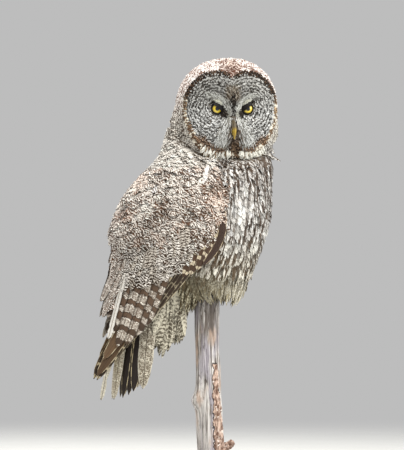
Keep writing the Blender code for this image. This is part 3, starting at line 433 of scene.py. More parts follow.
def round_bar(path, radii, sides, swell=None):
    """Points of a round bar along a path, ring by ring, with a pointed end cap at each end."""
    path = np.array(path, float)
    ahead = np.gradient(path, axis=0)
    ahead /= np.linalg.norm(ahead, axis=1, keepdims=True)
    guide = np.cross(ahead[0], (0.31, 0.17, 0.93))
    points = []
    for k, at in enumerate(path):
        guide = guide - ahead[k] * np.dot(guide, ahead[k])
        guide /= np.linalg.norm(guide)
        other = np.cross(ahead[k], guide)
        for s in range(sides):
            turn = 2 * pi * s / sides
            reach = radii[k] * (1 if swell is None else swell(k, turn))
            points.append(at + reach * (cos(turn) * guide + sin(turn) * other))
    points += [path[0] - ahead[0] * radii[0] * 0.4, path[-1] + ahead[-1] * radii[-1] * 0.4]
    return np.array(points), tube_triangles(len(path), sides)


def put_together(forms):
    """The points and triangles of several forms as those of one."""
    shifts = np.cumsum([0] + [len(points) for points, _ in forms])
    triangles = [triangles + shift for (_, triangles), shift in zip(forms, shifts)]
    return np.concatenate([points for points, _ in forms]), np.concatenate(triangles)


twig_share = np.linspace(0, 1, 26)
twig_start = np.array((0.018, -0.004, TWIG_HEIGHT - 0.012))
twig_path = [twig_start + np.array((TWIG_LENGTH * t, -0.004 * t, 0.013 * t * t)) for t in twig_share]
twig_radii = TWIG_RADIUS * (1.35 - 0.75 * twig_share)


def twig_swell(k, turn):
    lumps = noise.noise((cos(turn) * 3, sin(turn) * 3, k * 0.35))
    splinter = 0.10 * sin(7 * turn + 3) + 0.22 * lumps
    return 1 + splinter * (0.4 + twig_share[k])


twig = round_bar(twig_path, twig_radii, 40, twig_swell)
stem = (stem_points, tube_triangles(stem_rows, STEM_SIDES))
stem_bark = np.concatenate((stem_bark, np.full(len(twig[0]), 1.0)))
perch = triangle_mesh("weathered_stem", *put_together([stem, twig]))
perch.attributes.new("bark", "FLOAT", "POINT").data.foreach_set("value", stem_bark.astype(np.float32))


def parted(place):
    """The three parts of a place."""
    return [Wire(slot) for slot in added(place.tree, "SeparateXYZ", place).outputs]


def attribute(tree, name, output="Color"):
    """What a mesh carries at each of its points."""
    return Wire(added(tree, "Attribute", attribute_name=name).outputs[output])


weathered, tree, shader = new_material("weathered_wood", {"Roughness": 0.85})
place = position(tree)
long_grain = mottle(stretched(place, (260.0, 260.0, 14.0)), 1.0, 5.0, 0.62)
fine_grain = mottle(stretched(place, (1100.0, 1100.0, 60.0)))
patches = mottle(stretched(place, (40.0, 40.0, 13.0)))
# The sapwood is painted lighter towards the stem's foot and darker higher up: painted light, laid over the
# long grain
grain_and_painted_light = parted(place)[2] * -0.55 + long_grain
silver = mixed(step_between(grain_and_painted_light, 0.265, 0.545), srgb(104, 95, 88), srgb(238, 233, 228))
silver = mixed(step_between(patches, 0.52, 0.72), silver, srgb(204, 176, 156))
silver = mixed(step_between(fine_grain, 0.60, 0.74), silver, srgb(62, 50, 42))
violet = step_between(mottle(stretched(place, (55.0, 55.0, 9.0)), 1.0, 2.0), 0.50, 0.66)
silver = mixed(violet * 0.6, silver, srgb(176, 170, 182))
flakes = mottle(stretched(place, (210.0, 210.0, 95.0)), 1.0, 4.0, 0.6)
rust = mixed(step_between(flakes, 0.38, 0.62), srgb(112, 82, 66), srgb(218, 190, 172))
rust = mixed(step_between(mottle(place, 150.0, 2.0), 0.60, 0.72), rust, srgb(244, 232, 222))
bark = attribute(tree, "bark", "Fac")
cover = step_between(bark, 0.35, 0.65)
# A thin dark line all round the strip of bark: the crack along its left edge, and elsewhere a painted
# shadow under the bark's raised edge
crack = step_between(bark, 0.01, 0.08) - step_between(bark, 0.55, 0.85)
feed(shader.inputs["Base Color"], mixed(crack * 0.9, mixed(cover, silver, rust), srgb(40, 28, 22)))
bumped(shader, long_grain + fine_grain * 0.4 + flakes * cover, 0.0012, 0.8)
fitted(perch, weathered, "weathered_wood", "perch_stem")

# Skin
# One skin over trunk, neck, head, legs and feet, a coat's depth inside the outer form of the solids.
# It is read off them ray by ray, closed up as one surface and smoothed, and carries the coat's ground.
HEAD_MIDDLE = np.array((0.0365, 0.0, 0.6898))
HEAD_TURN = radians(88)
FACE_FRONT = np.array((cos(HEAD_TURN), -sin(HEAD_TURN), 0.0))
FACE_SIDE = np.array((sin(HEAD_TURN), cos(HEAD_TURN), 0.0))
UP = np.array((0.0, 0.0, 1.0))
DISC_DROP = 0.006
# Angle round the face from level with the eyes, in degrees, and how far the disc reaches there
DISC_REACH = (
    (-90, 0.0755), (-75, 0.0820), (-50, 0.0855), (-20, 0.0830),
    (5, 0.0875), (35, 0.0945), (55, 0.0930), (72, 0.0850),
    (90, 0.0680),
)
BODY_COAT = 0.0060
HEAD_COAT = 0.0050
FACE_COAT = 0.0028
TRUNK_FOOT = 0.399
TRUNK_HEAD = 0.655
NECK_BASE = 0.580
FAR = 0.45
VOXEL = 0.0027


def on_face(side, up, front):
    """A point given from the head's middle: to its left, up, and forward."""
    return HEAD_MIDDLE + FACE_SIDE * side + UP * up + FACE_FRONT * front


def in_head(points):
    """Points as seen from the head's middle: to its left, up, and forward."""
    off = points - HEAD_MIDDLE
    return off @ FACE_SIDE, off @ UP, off @ FACE_FRONT


def disc_share(side, up):
    """How far out from the disc's middle a point of the face is: 1 on its rim."""
    rise = up + DISC_DROP
    reach = np.hypot(side, rise)
    level = np.degrees(np.arcsin(np.clip(rise / np.maximum(reach, 1e-6), -1, 1)))
    angles, reaches = zip(*DISC_REACH)
    return reach / np.interp(level, angles, reaches)


def past(value, edge, width):
    """0 before an edge and 1 past it, with a soft change over width. A negative width looks downwards."""
    return eased((value - edge) / width)


def bell(value, middle, reach):
    """1 at a middle and less away from it: about a third at the reach."""
    return np.exp(-(((value - middle) / reach) ** 2))


def jowl_share(side, up, front):
    """1 low on the sides and back of the head, where its feathers stand out over the neck. The turn of
    the head pushes them lower on its left."""
    middle = -0.022 - 0.020 * eased(side / 0.05)
    return bell(up, middle, 0.020) * (1 - past(front, 0.010, 0.025))


def tree_of(*names):
    """A search tree over some of the frame's nodes."""
    points, faces = [], []
    for name in names:
        mesh = nodes[name].data
        shift = len(points)
        points += [vertex.co.copy() for vertex in mesh.vertices]
        faces += [[shift + i for i in polygon.vertices] for polygon in mesh.polygons]
    return BVHTree.FromPolygons(points, faces)


def evened(grid, passes):
    """Reaches smoothed along and round. Columns go round."""
    for _ in range(passes):
        grid = (np.roll(grid, 1, 1) + 2 * grid + np.roll(grid, -1, 1)) / 4
        padded = np.vstack((grid[:1], grid, grid[-1:]))
        grid = (padded[:-2] + 2 * grid + padded[2:]) / 4
    return grid


def trunk_axis(z):
    return float(np.interp(z, (0.40, 0.50, 0.66), (-0.045, -0.025, 0.022)))


TRUNK_ROWS = 60
TRUNK_SIDES = 120
torso_tree = tree_of("torso")
cover_tree = tree_of("wing_left", "wing_right", "neck")
trunk_heights = np.linspace(TRUNK_FOOT, TRUNK_HEAD, TRUNK_ROWS)
trunk_turns = np.arange(TRUNK_SIDES) * 2 * pi / TRUNK_SIDES
reaches = np.zeros((TRUNK_ROWS, TRUNK_SIDES))
for row, z in enumerate(trunk_heights):
    middle = Vector((trunk_axis(z), 0, z))
    for column, turn in enumerate(trunk_turns):
        out = Vector((cos(turn), sin(turn), 0))
        hit = torso_tree.ray_cast(middle, out) if z < NECK_BASE else (None,)
        inner = hit[3] if hit[0] is not None else 0.0
        hit = cover_tree.ray_cast(middle + out * FAR, -out)
        outer = FAR - hit[3] if hit[0] is not None else 0.0
        reaches[row, column] = max(inner, outer)
reaches = evened(reaches, 4) - BODY_COAT
trunk_rings = []
for row, z in enumerate(trunk_heights):
    ring_x = trunk_axis(z) + reaches[row] * np.cos(trunk_turns)
    ring_y = reaches[row] * np.sin(trunk_turns)
    trunk_rings.append(np.stack((ring_x, ring_y, np.full(TRUNK_SIDES, z)), 1))
belly_floor = trunk_rings[0].copy()
belly_middle = np.array((trunk_axis(TRUNK_FOOT), 0, TRUNK_FOOT))
belly_floor = belly_middle + (belly_floor - belly_middle) * 0.86 - UP * 0.006
flesh = [ring_solid([belly_floor, *trunk_rings], belly_middle - UP * 0.008, (0.022, 0, TRUNK_HEAD + 0.01))]

HEAD_ROWS = 72
HEAD_SIDES = 120
head_tree = tree_of("head", "facial_disc")
leans = (np.arange(HEAD_ROWS) + 0.5) * pi / HEAD_ROWS
head_turns = np.arange(HEAD_SIDES) * 2 * pi / HEAD_SIDES
head_reach = np.zeros((HEAD_ROWS, HEAD_SIDES))
for row, lean in enumerate(leans):
    for column, turn in enumerate(head_turns):
        out = FACE_FRONT * cos(lean) + sin(lean) * (FACE_SIDE * cos(turn) + UP * sin(turn))
        hit = head_tree.ray_cast(Vector(HEAD_MIDDLE + out * FAR), Vector(-out))
        head_reach[row, column] = FAR - hit[3]
head_reach = evened(head_reach, 2)
head_rings = []
for row, lean in enumerate(leans):
    around = np.outer(np.cos(head_turns), FACE_SIDE) + np.outer(np.sin(head_turns), UP)
    out = FACE_FRONT * cos(lean) + sin(lean) * around
    side, up, front = in_head(HEAD_MIDDLE + out * head_reach[row][:, None])
    on_disc = 1 - past(disc_share(side, up), 0.90, 0.15)
    on_disc = on_disc * (front > 0)
    depth = HEAD_COAT + (FACE_COAT - HEAD_COAT) * on_disc
    depth = depth - 0.0042 * jowl_share(side, up, front)
    head_rings.append(HEAD_MIDDLE + out * (head_reach[row] - depth)[:, None])
face_middle = head_rings[0].mean(0)
flesh.append(ring_solid(head_rings, face_middle, head_rings[-1].mean(0)))

# The legs and toes, as the solids have them, a little thinner
LEG_OUT = 0.0165
ANKLE_HEIGHT = 0.361
TOE_TURNS = (22, 64, 116, 158)
TOE_RADIUS = 0.0050
TOE_ROWS = 12
RIM_OUT = 0.0300


def toe_line(turn, count):
    """From the foot's pad out over the stem's rim and a little way down its side."""
    out = np.array((cos(turn), sin(turn), 0))
    corners = (
        np.array((0, LEG_OUT * 0.75, STEM_TOP + 0.0085)),
        out * (RIM_OUT - 0.003) + UP * (STEM_TOP + 0.0048),
        out * RIM_OUT + UP * (STEM_TOP - 0.0020),
        out * RIM_OUT * 0.995 + UP * (STEM_TOP - 0.0100),
    )
    lengths = np.cumsum([0] + [np.linalg.norm(b - a) for a, b in zip(corners, corners[1:])])
    steps = np.linspace(0, lengths[-1], count)
    line = np.stack([np.interp(steps, lengths, [c[axis] for c in corners]) for axis in range(3)], 1)
    line[1:-1] = (line[:-2] + 2 * line[1:-1] + line[2:]) / 4
    return line


for flip in (1, -1):
    mirror = np.array((1, flip, 1))
    shank = [(-0.008, LEG_OUT, 0.412), (-0.004, LEG_OUT * 0.95, 0.385), (0, LEG_OUT * 0.8, ANKLE_HEIGHT)]
    shank.append((0, LEG_OUT * 0.75, STEM_TOP + 0.005))
    flesh.append(round_bar(np.array(shank) * mirror, (0.0135, 0.0120, 0.0090, 0.0085), 24))
    for degrees in TOE_TURNS:
        line = toe_line(radians(degrees), TOE_ROWS) * mirror
        flesh.append(round_bar(line, TOE_RADIUS * np.linspace(1, 0.78, TOE_ROWS), 16))

rough_skin = link_object("skin", triangle_mesh("skin", *put_together(flesh)))
remesh = rough_skin.modifiers.new("one_surface", "REMESH")
remesh.mode = "VOXEL"
remesh.voxel_size = VOXEL
relax = rough_skin.modifiers.new("soft_joins", "SMOOTH")
relax.factor = 0.5
relax.iterations = 5
graph = bpy.context.evaluated_depsgraph_get()
skin_mesh = bpy.data.meshes.new_from_object(rough_skin.evaluated_get(graph), depsgraph=graph)
bpy.data.objects.remove(rough_skin, do_unlink=True)
skin_mesh.name = "skin"
skin_mesh.shade_smooth()
skin = link_object("skin", skin_mesh)
skin_mesh.calc_loop_triangles()
skin_points = np.zeros((len(skin_mesh.vertices), 3), np.float32)
skin_mesh.vertices.foreach_get("co", skin_points.ravel())
skin_points = skin_points.astype(float)
skin_corners = np.zeros(len(skin_mesh.loop_triangles) * 3, np.int32)
skin_mesh.loop_triangles.foreach_get("vertices", skin_corners)
skin_corners = skin_corners.reshape(-1, 3)
skin_tree = BVHTree.FromPolygons([Vector(p) for p in skin_points], skin_corners.tolist())
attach(skin, "root")
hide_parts("torso", "neck", "head", "facial_disc", "leg_left", "leg_right", "foot_left", "foot_right")
# The skin shows only between feathers, so it has the coat's ground colours, darker
hide, tree, shader = new_material("skin_under_coat", {"Roughness": 0.9})
place = position(tree)
down = mottle(place, 160.0, 4.0)
feed(shader.inputs["Base Color"], mixed(down, srgb(74, 62, 50), srgb(150, 138, 122)))
bumped(shader, mottle(place, 900.0), 0.0005, 0.5)
skin.data.materials.append(hide)

# Coat
# Thousands of small feathers, each a thin arched vane rooted on the skin, that lie back and down over
# the next ones like shingles. They are made region by region, smallest on the face and feet.
COAT_LIMIT = 195000
COAT_STATIONS = 5
random = np.random.default_rng(4984)


def unit(v):
    return v / np.maximum(np.linalg.norm(v, axis=-1, keepdims=True), 1e-9)


def laid(v, normals):
    """Directions laid flat on a surface."""
    return unit(v - normals * np.sum(v * normals, axis=-1, keepdims=True))


def swung(v, axis, angle):
    """Directions turned about an axis at right angles to them."""
    return v * np.cos(angle)[:, None] + np.cross(axis, v) * np.sin(angle)[:, None]


def nearest_skin(points):
    """The skin's points nearest to some points, and the normals there."""
    found = [skin_tree.find_nearest(point) for point in points]
    return np.array([f[0] for f in found]), np.array([f[1] for f in found])


LEAD_HEIGHTS = (0.366, 0.385, 0.410, 0.445, 0.485, 0.523, 0.560, 0.590)
LEAD_X = (-0.060, -0.036, -0.012, 0.013, 0.026, 0.033, 0.034, 0.012)


def breast_share(points):
    """1 on the breast and belly, 0 on the wings and back, along the folded wing's leading edge."""
    lead = np.interp(points[:, 2], LEAD_HEIGHTS, LEAD_X)
    return past(points[:, 0] - lead, -0.004, 0.010)


def head_share(points):
    return past(points[:, 2], 0.598, 0.05)


def face_share(points):
    """Distance out on the disc where a point is on the front of the head, and far out elsewhere."""
    side, up, front = in_head(points)
    return np.where(front > 0.015, disc_share(side, up), 9.0)


def across_face(side, up):
    """Directions in the plane of the face, from how far they go to the head's left and up."""
    way = np.stack((side, up), 1)
    way /= np.maximum(np.linalg.norm(way, axis=1, keepdims=True), 1e-6)
    return way[:, :1] * FACE_SIDE + way[:, 1:] * UP


def lie(points):
    """Which way the coat lies, as a free direction that is later laid on the skin."""
    breast = breast_share(points)[:, None]
    head = head_share(points)[:, None]
    wing_way = np.array((-0.50, 0.0, -0.87))
    back_way = np.array((-0.30, 0.0, -0.95))
    middle = bell(points[:, 1], 0.0, 0.035)[:, None]
    behind = wing_way * (1 - middle) + back_way * middle
    low = past(points[:, 2], 0.50, -0.10)[:, None]
    ahead = np.array((0.02, 0.0, -1.0)) * (1 - low) + np.array((-0.20, 0.0, -0.98)) * low
    body = behind * (1 - breast) + ahead * breast
    side, up, front = in_head(points)
    from_rim = across_face(side, up + DISC_DROP) - 0.9 * FACE_FRONT
    ahead_share = past(front, 0.012, 0.03)[:, None]
    crown = (-FACE_FRONT - 0.75 * UP) * (1 - ahead_share) + from_rim * ahead_share
    return unit(head * crown + (1 - head) * body)


def scatter(spacing, wanted):
    """Roots on the skin about spacing apart, where wanted(points) is true, with the normals there."""
    corners = skin_points[skin_corners]
    corners = corners[wanted(corners.mean(1))]
    cross = np.cross(corners[:, 1] - corners[:, 0], corners[:, 2] - corners[:, 0])
    areas = np.linalg.norm(cross, axis=1) / 2
    count = int(areas.sum() / spacing**2 * 4.5)
    pick = random.choice(len(corners), count, p=areas / areas.sum())
    a, b = random.random((2, count))
    flip = a + b > 1
    a = np.where(flip, 1 - a, a)[:, None]
    b = np.where(flip, 1 - b, b)[:, None]
    chosen = corners[pick]
    tries = chosen[:, 0] + (chosen[:, 1] - chosen[:, 0]) * a + (chosen[:, 2] - chosen[:, 0]) * b
    cells = np.floor(tries / spacing).astype(int).tolist()
    spots = tries.tolist()
    around = [(x, y, z) for x in (-1, 0, 1) for y in (-1, 0, 1) for z in (-1, 0, 1)]
    limit = spacing**2
    taken = {}
    kept = []
    for index, (i, j, k) in enumerate(cells):
        x, y, z = spots[index]
        near = (spot for di, dj, dk in around for spot in taken.get((i + di, j + dj, k + dk), ()))
        if all((x - u) ** 2 + (y - v) ** 2 + (z - w) ** 2 >= limit for u, v, w in near):
            taken.setdefault((i, j, k), []).append((x, y, z))
            kept.append(index)
    return nearest_skin(tries[kept])


def walk(roots, normals, lengths, splay, sink, rise, way=lie, droop=35):
    """Stations of feathers that follow the skin from their roots, rising from sink to rise.
    Where the skin turns away by more than droop degrees, a feather runs straight on."""
    heading = swung(laid(way(roots), normals), normals, splay)
    middles, ups, alongs = [roots + normals * sink[:, None]], [normals], [heading]
    foot, up = roots, normals
    steps = COAT_STATIONS - 1
    for step in range(1, steps + 1):
        reach = (lengths / steps)[:, None]
        ahead = foot + heading * reach
        found, turned = nearest_skin(ahead)
        bends = np.sum(turned * up, axis=1) > cos(radians(droop))
        close = np.linalg.norm(found - ahead, axis=1) < 0.6 * lengths / steps
        follow = (bends & close)[:, None]
        foot = np.where(follow, found, ahead)
        up = unit(np.where(follow, 0.5 * up + 0.5 * turned, up))
        target = swung(laid(way(foot), up), up, splay)
        heading = laid(np.where(follow, 0.5 * heading + 0.5 * target, heading), up)
        share = step / steps
        height = sink + (rise - sink) * share**1.1
        middles.append(foot + up * height[:, None])
        ups.append(up)
        alongs.append(heading)
    return np.stack(middles, 1), np.stack(ups, 1), np.stack(alongs, 1)


def vane_points(middles, ups, alongs, halves, outline, arch, thick, roll):
    """The points of closed vanes: left edge, ridge, right edge and underside at each station, then the
    tip."""
    count = len(middles)
    across = np.cross(alongs, ups)
    tilt = roll[:, None, None]
    leaning = across * np.cos(tilt) + ups * np.sin(tilt)
    raised = ups * np.cos(tilt) - across * np.sin(tilt)
    width = halves[:, None, None] * np.asarray(outline)[None, :, None]
    low = -arch * width * raised
    left = middles - leaning * width + low
    right = middles + leaning * width + low
    ridge = middles + raised * thick * 0.6
    under = middles - raised * thick * 0.4
    body = np.stack((left, ridge, right, under), 2)[:, :-1]
    tips = middles[:, -1:]
    return np.concatenate((body.reshape(count, -1, 3), tips), 1)


def vane_triangles(stations):
    """The triangles of one closed vane of that many stations, the last of which is its tip."""
    made = [(0, 1, 2), (0, 2, 3)]
    for station in range(stations - 2):
        for k in range(4):
            a, b = 4 * station + k, 4 * station + (k + 1) % 4
            made += [(a, b + 4, b), (a, a + 4, b + 4)]
    last, tip = 4 * (stations - 2), 4 * (stations - 1)
    made += [(last + k, tip, last + (k + 1) % 4) for k in range(4)]
    return np.array(made)


PATCH = 0.0015
COAT_AXIS = np.array((-0.01, 0.0))


def unwrapped(points, folded):
    """Where points fall on an unwrap of the skin: round the body's axis and up it, or round the face's."""
    if folded:
        side, up, front = in_head(points)
        lean = np.arctan2(np.hypot(side, up), front) / pi
        turn = np.arctan2(up, side)
        return np.stack((0.5 + 0.49 * lean * np.cos(turn), 0.5 + 0.49 * lean * np.sin(turn)), -1)
    off = points[..., :2] - COAT_AXIS
    turn = np.arctan2(off[..., 1], off[..., 0]) / (2 * pi) + 0.5
    height = (points[..., 2] - 0.12) / 0.70
    return np.stack((0.01 + 0.98 * turn, 0.01 + 0.98 * height), -1)


def patch_of(roots, spread, folded):
    """Each feather's own small patch on the unwrap, where its root is."""
    return unwrapped(roots, folded)[:, None] + (spread - (0, 0.5)) * (PATCH, 2 * PATCH)


def dressed(mesh, corners, places, paints):
    """A mesh with the maps and the colours that its feathers carry. corners are its triangles."""
    for title, values in places.items():
        flat = values.reshape(-1, 2)[corners.ravel()].astype(np.float32)
        mesh.uv_layers.new(name=title).data.foreach_set("uv", flat.ravel())
    for title, values in paints.items():
        flat = values.astype(np.float32).ravel()
        mesh.attributes.new(title, "FLOAT_COLOR", "POINT").data.foreach_set("color", flat)
    return mesh


def coat_piece(name, slot, surface, points, triangles, spread, vane, roots, looks, folded):
    """Joins feathers of like build into pieces under the limit. points are (feather, point, 3), spread
    and vane give each point's place on its vane, as shares and in metres, and looks are pale, dark and
    marks."""
    per_piece = COAT_LIMIT // len(triangles)
    parts = ceil(len(points) / per_piece)
    order = np.argsort(roots[:, 2], kind="stable")
    for part in range(parts):
        chosen = order[part::parts]
        count, size = len(chosen), points.shape[1]
        faces = (triangles[None] + (np.arange(count) * size)[:, None, None]).reshape(-1, 3)
        label = name if parts == 1 else f"{name}_{part + 1}"
        mesh = triangle_mesh(label, points[chosen].reshape(-1, 3), faces, 70)
        base_uv = patch_of(roots[chosen], spread[chosen], folded)
        places = {"OFBake": base_uv, "vane": vane[chosen], "spread": spread[chosen]}
        carried = [np.repeat(values[chosen], size, axis=0) for values in looks]
        fitted(dressed(mesh, faces, places, dict(zip(("pale", "dark", "marks"), carried))), surface, slot)


# Outlines of a small feather at its stations, from root to just before the tip: round and pointed
ROUND_TIP = (0.35, 0.88, 1.0, 0.70, 0.0)
SOFT_TIP = (0.35, 0.84, 1.0, 0.62, 0.0)
STATION_SHARES = np.array((0.0, 0.30, 0.64, 0.90, 1.0))


def small_feathers(
    name, slot, surface, roots, normals, size, looks, way=lie, outline=ROUND_TIP, folded=False
):
    """One region's feathers. size has length, half width, rise and splay. looks are their pale and dark
    colours and the levels of their marks."""
    count = len(roots)
    vary = random.normal(1.0, 0.10, count).clip(0.75, 1.3)
    lengths = size["length"] * vary
    halves = size["half"] * random.normal(1.0, 0.10, count).clip(0.75, 1.3)
    splay = np.radians(random.normal(0, size["splay"], count))
    sink = np.full(count, -0.0004)
    rise = size["rise"] * random.normal(1.0, 0.14, count).clip(0.6, 1.5) + size.get("stand_off", 0.0)
    middles, ups, alongs = walk(roots, normals, lengths, splay, sink, rise, way)
    # Stations stand closer together towards the tip
    place = STATION_SHARES * (COAT_STATIONS - 1)
    low = np.minimum(place.astype(int), COAT_STATIONS - 2)
    part = (place - low)[None, :, None]
    middles = middles[:, low] * (1 - part) + middles[:, low + 1] * part
    ups = unit(ups[:, low] * (1 - part) + ups[:, low + 1] * part)
    alongs = unit(alongs[:, low] * (1 - part) + alongs[:, low + 1] * part)
    roll = np.radians(random.normal(0, 7, count))
    points = vane_points(middles, ups, alongs, halves, outline, 0.30, 0.00045, roll)
    shares = np.append(np.repeat(STATION_SHARES[:-1], 4), 1.0)
    sides = np.append(np.tile((-1.0, 0.0, 1.0, 0.0), COAT_STATIONS - 1), 0.0)
    widths = np.append(np.repeat(outline[:-1], 4), 0.0)
    spread = np.broadcast_to(np.stack((sides, shares), 1), (count, len(sides), 2))
    vane = np.stack((sides * widths * halves[:, None], shares * lengths[:, None]), 2)
    triangles = vane_triangles(COAT_STATIONS)
    coat_piece(name, slot, surface, points, triangles, spread, vane, roots, looks, folded)


def patchy(points, size, seed):
    """Smooth noise at points, about -1 to 1, with blotches of the given size."""
    shift = Vector((seed, seed * 0.7, -seed))
    return np.array([noise.noise(Vector(p) / size + shift) for p in points]) * 1.6


def tinted(colour, count, spread):
    """A colour for each feather, a little lighter or darker from one to the next."""
    values = np.asarray(colour) * random.normal(1.0, spread, (count, 1)).clip(0.6, 1.4)
    return np.concatenate((values.clip(0, 1), np.ones((count, 1))), 1)


def blended(first, second, share):
    share = np.clip(share, 0, 1)[:, None]
    return first * (1 - share) + second * share


def shaded(count, first, first_spread, second, second_spread, share):
    """Colours from a first to a second by share, each with its own spread of light and dark."""
    return blended(tinted(first, count, first_spread), tinted(second, count, second_spread), share)


def toward(colours, colour, spread, share):
    """Colours taken some of the way to another."""
    return blended(colours, tinted(colour, len(colours), spread), share)


FULL_TURN = 2 * pi


def joined(*parts):
    return Wire(added(tree_among(parts), "CombineXYZ", *parts).outputs[0])


def paint_group(name, inputs, outputs):
    """A node group with inputs and outputs listed by kind, what it is given, and where its results go."""
    made = bpy.data.node_groups.new(name, "ShaderNodeTree")
    for direction, kinds in (("INPUT", inputs), ("OUTPUT", outputs)):
        for kind, titles in kinds.items():
            for title in titles:
                made.interface.new_socket(title, in_out=direction, socket_type=f"NodeSocket{kind}")
    given = {slot.name: Wire(slot) for slot in made.nodes.new("NodeGroupInput").outputs}
    return made, given, made.nodes.new("NodeGroupOutput").inputs


def in_group(tree, group_tree, values):
    """A node group's results in a material, with its inputs fed by title."""
    group = added(tree, "Group", node_tree=group_tree)
    for title, value in values.items():
        feed(group.inputs[title], value)
    return {slot.name: Wire(slot) for slot in group.outputs}


def feather_levels(tree):
    """The four levels that each feather carries for its marks."""
    split = added(tree, "SeparateColor", attribute(tree, "marks"))
    return [*map(Wire, split.outputs), attribute(tree, "marks", "Alpha")]


def feather_values(tree, *titles):
    """What a feather's group is fed with: its levels by title, its two colours and its places."""
    values = dict(zip(titles, feather_levels(tree)))
    for title in ("Pale", "Dark"):
        values[title] = attribute(tree, title.lower())
    for title in ("Vane", "Spread"):
        values[title] = Wire(added(tree, "UVMap", uv_map=title.lower()).outputs[0])
    return values


# What every small body feather is painted with: fine wavy cross bars, a dark streak along the shaft
# and hair-fine barbs. The group puts out the colour and the barbs' height.
MARK_LEVELS = ("Lighter", "Contrast", "Streak", "Seed")
marks, given, results = paint_group(
    "feather_marks",
    {
        "Color": ("Pale", "Dark"),
        "Float": (*MARK_LEVELS, "Spacing", "Wobble", "Streak Width"),
        "Vector": ("Vane", "Spread"),
    },
    {"Color": ("Colour",), "Float": ("Barbs",)},
)
across, along = parted(given["Vane"])[:2]
ripple = mottle(joined(across * 170.0, along * 170.0, given["Seed"] * 57.0), 1.0, 2.0) - 0.5
phase = along / given["Spacing"] + ripple * given["Wobble"] + given["Seed"]
phase = phase + abs(across) * -60.0 + across * (given["Seed"] * 260.0 - 130.0)
wave = maths("SINE", phase * FULL_TURN)
bars = step_between(wave + given["Lighter"], -0.35, 0.35)
plain = maths("MULTIPLY_ADD", given["Lighter"], 0.4, 0.5, clamp=True)
share = maths("MULTIPLY_ADD", bars - plain, given["Contrast"], plain, clamp=True)
barred = mixed(share, given["Dark"], given["Pale"])
clear_of = (abs(across) + ripple * 0.0012) / given["Streak Width"]
streak = (1.0 - step_between(clear_of, 0.55, 1.15)) * given["Streak"]
deep = mixed(0.35, given["Dark"], (0.02, 0.014, 0.009))
feed(results["Colour"], mixed(streak, barred, deep))
feed(results["Barbs"], maths("SINE", (along + abs(across)) * 9000.0))


def feather_material(name, spacing, wobble, streak_width, sheen, columns=0.0, squiggles=0.0):
    """A body feather's finish: colours from the feather, marks from the group, soft and dull. columns and
    squiggles are the strength of long streaks and of short wavy lines that run on over the feathers."""
    soft = {"Roughness": 0.82, "Sheen Weight": sheen, "Sheen Roughness": 0.5, "Specular IOR Level": 0.25}
    made, tree, shader = new_material(name, soft)
    values = feather_values(tree, *MARK_LEVELS)
    sizes = {"Spacing": spacing, "Wobble": wobble, "Streak Width": streak_width}
    painted_on = in_group(tree, marks, values | sizes)
    colour = painted_on["Colour"]
    if columns:
        x, y, z = parted(position(tree))
        from_height = z - 0.535
        bowed = joined(from_height * from_height * 1.4 + x, y, z)
        long_noise = mottle(stretched(bowed, (185.0, 185.0, 16.0)), 1.0, 1.0, 0.5)
        fewer_low = maths("MAXIMUM", from_height * 0.35, -0.004)
        streaks = step_between(long_noise + fewer_low, 0.500, 0.535) * columns
        colour = mixed(streaks, colour, values["Dark"])
    if squiggles:
        winding = mottle(position(tree), 62.0, 1.0, 0.6) * 40.0
        lines = maths("SINE", winding) + values["Lighter"] * 0.8
        lines = (1.0 - step_between(lines, -0.70, -0.15)) * squiggles
        colour = mixed(lines, colour, values["Dark"])
    feed(shader.inputs["Base Color"], colour)
    bumped(shader, painted_on["Barbs"], 0.0002, 0.25)
    return made


WHITE = srgb(249, 242, 232)
BROWN = srgb(90, 63, 43)
DEEP_BROWN = srgb(70, 51, 35)
RED_BROWN = srgb(126, 82, 56)
back_paint = feather_material("back_feather", 0.0052, 2.4, 0.0016, 0.10)
breast_paint = feather_material("breast_feather", 0.0060, 1.6, 0.0024, 0.12, 0.92)
crown_paint = feather_material("crown_feather", 0.0050, 2.3, 0.0010, 0.10)
nape_paint = feather_material("nape_feather", 0.0060, 1.6, 0.0010, 0.10, squiggles=0.9)


def marks_for(lighter, contrast, streak):
    """The levels that each feather carries for its marks, with a seed of its own."""
    levels = [np.broadcast_to(level, len(lighter)) for level in (lighter, contrast, streak)]
    return np.stack((*levels, random.random(len(lighter))), 1)


# Crown and nape: pinkish white, closely barred and flecked with brown; greyer down the nape
CROWN_FOOT = 0.640
CROWN = {"length": 0.0130, "half": 0.0034, "rise": 0.0040, "splay": 20}


def in_notch(points):
    """The point of crown feathers that comes down between the two halves of the disc."""
    side, up, front = in_head(points)
    return (np.abs(side) < 0.0095 * (up - 0.050) / 0.022) & (up > 0.050) & (front > 0)


def on_crown(points):
    _, up, _ = in_head(points)
    edge = 0.985 - 0.025 * past(up, 0.020, 0.03)
    return (points[:, 2] > CROWN_FOOT) & ((face_share(points) > edge) | in_notch(points))


roots, normals = scatter(0.0032, on_crown)
side, up, front = in_head(roots)
height_share = past(up, -0.03, 0.09)
count = len(roots)
CROWN["stand_off"] = 0.0050 * jowl_share(side, up, front)
pale = shaded(count, srgb(236, 230, 218), 0.10, srgb(250, 243, 237), 0.05, height_share)
dark = shaded(count, srgb(70, 55, 40), 0.15, srgb(118, 82, 64), 0.12, height_share)
middle_dark = bell(side, 0.0, 0.017) * past(front, 0.02, 0.03)
dark = toward(dark, srgb(84, 52, 38), 0.15, middle_dark)
pale = toward(pale, srgb(226, 200, 184), 0.10, 0.8 * middle_dark)
lighter = 0.38 + 0.65 * patchy(roots, 0.012, 3.0) - 0.45 * middle_dark
looks = (pale, dark, marks_for(lighter, 0.9, 0.25 * random.random(count)))
small_feathers("coat_crown", "back_feather", nape_paint, roots, normals, CROWN, looks, folded=True)

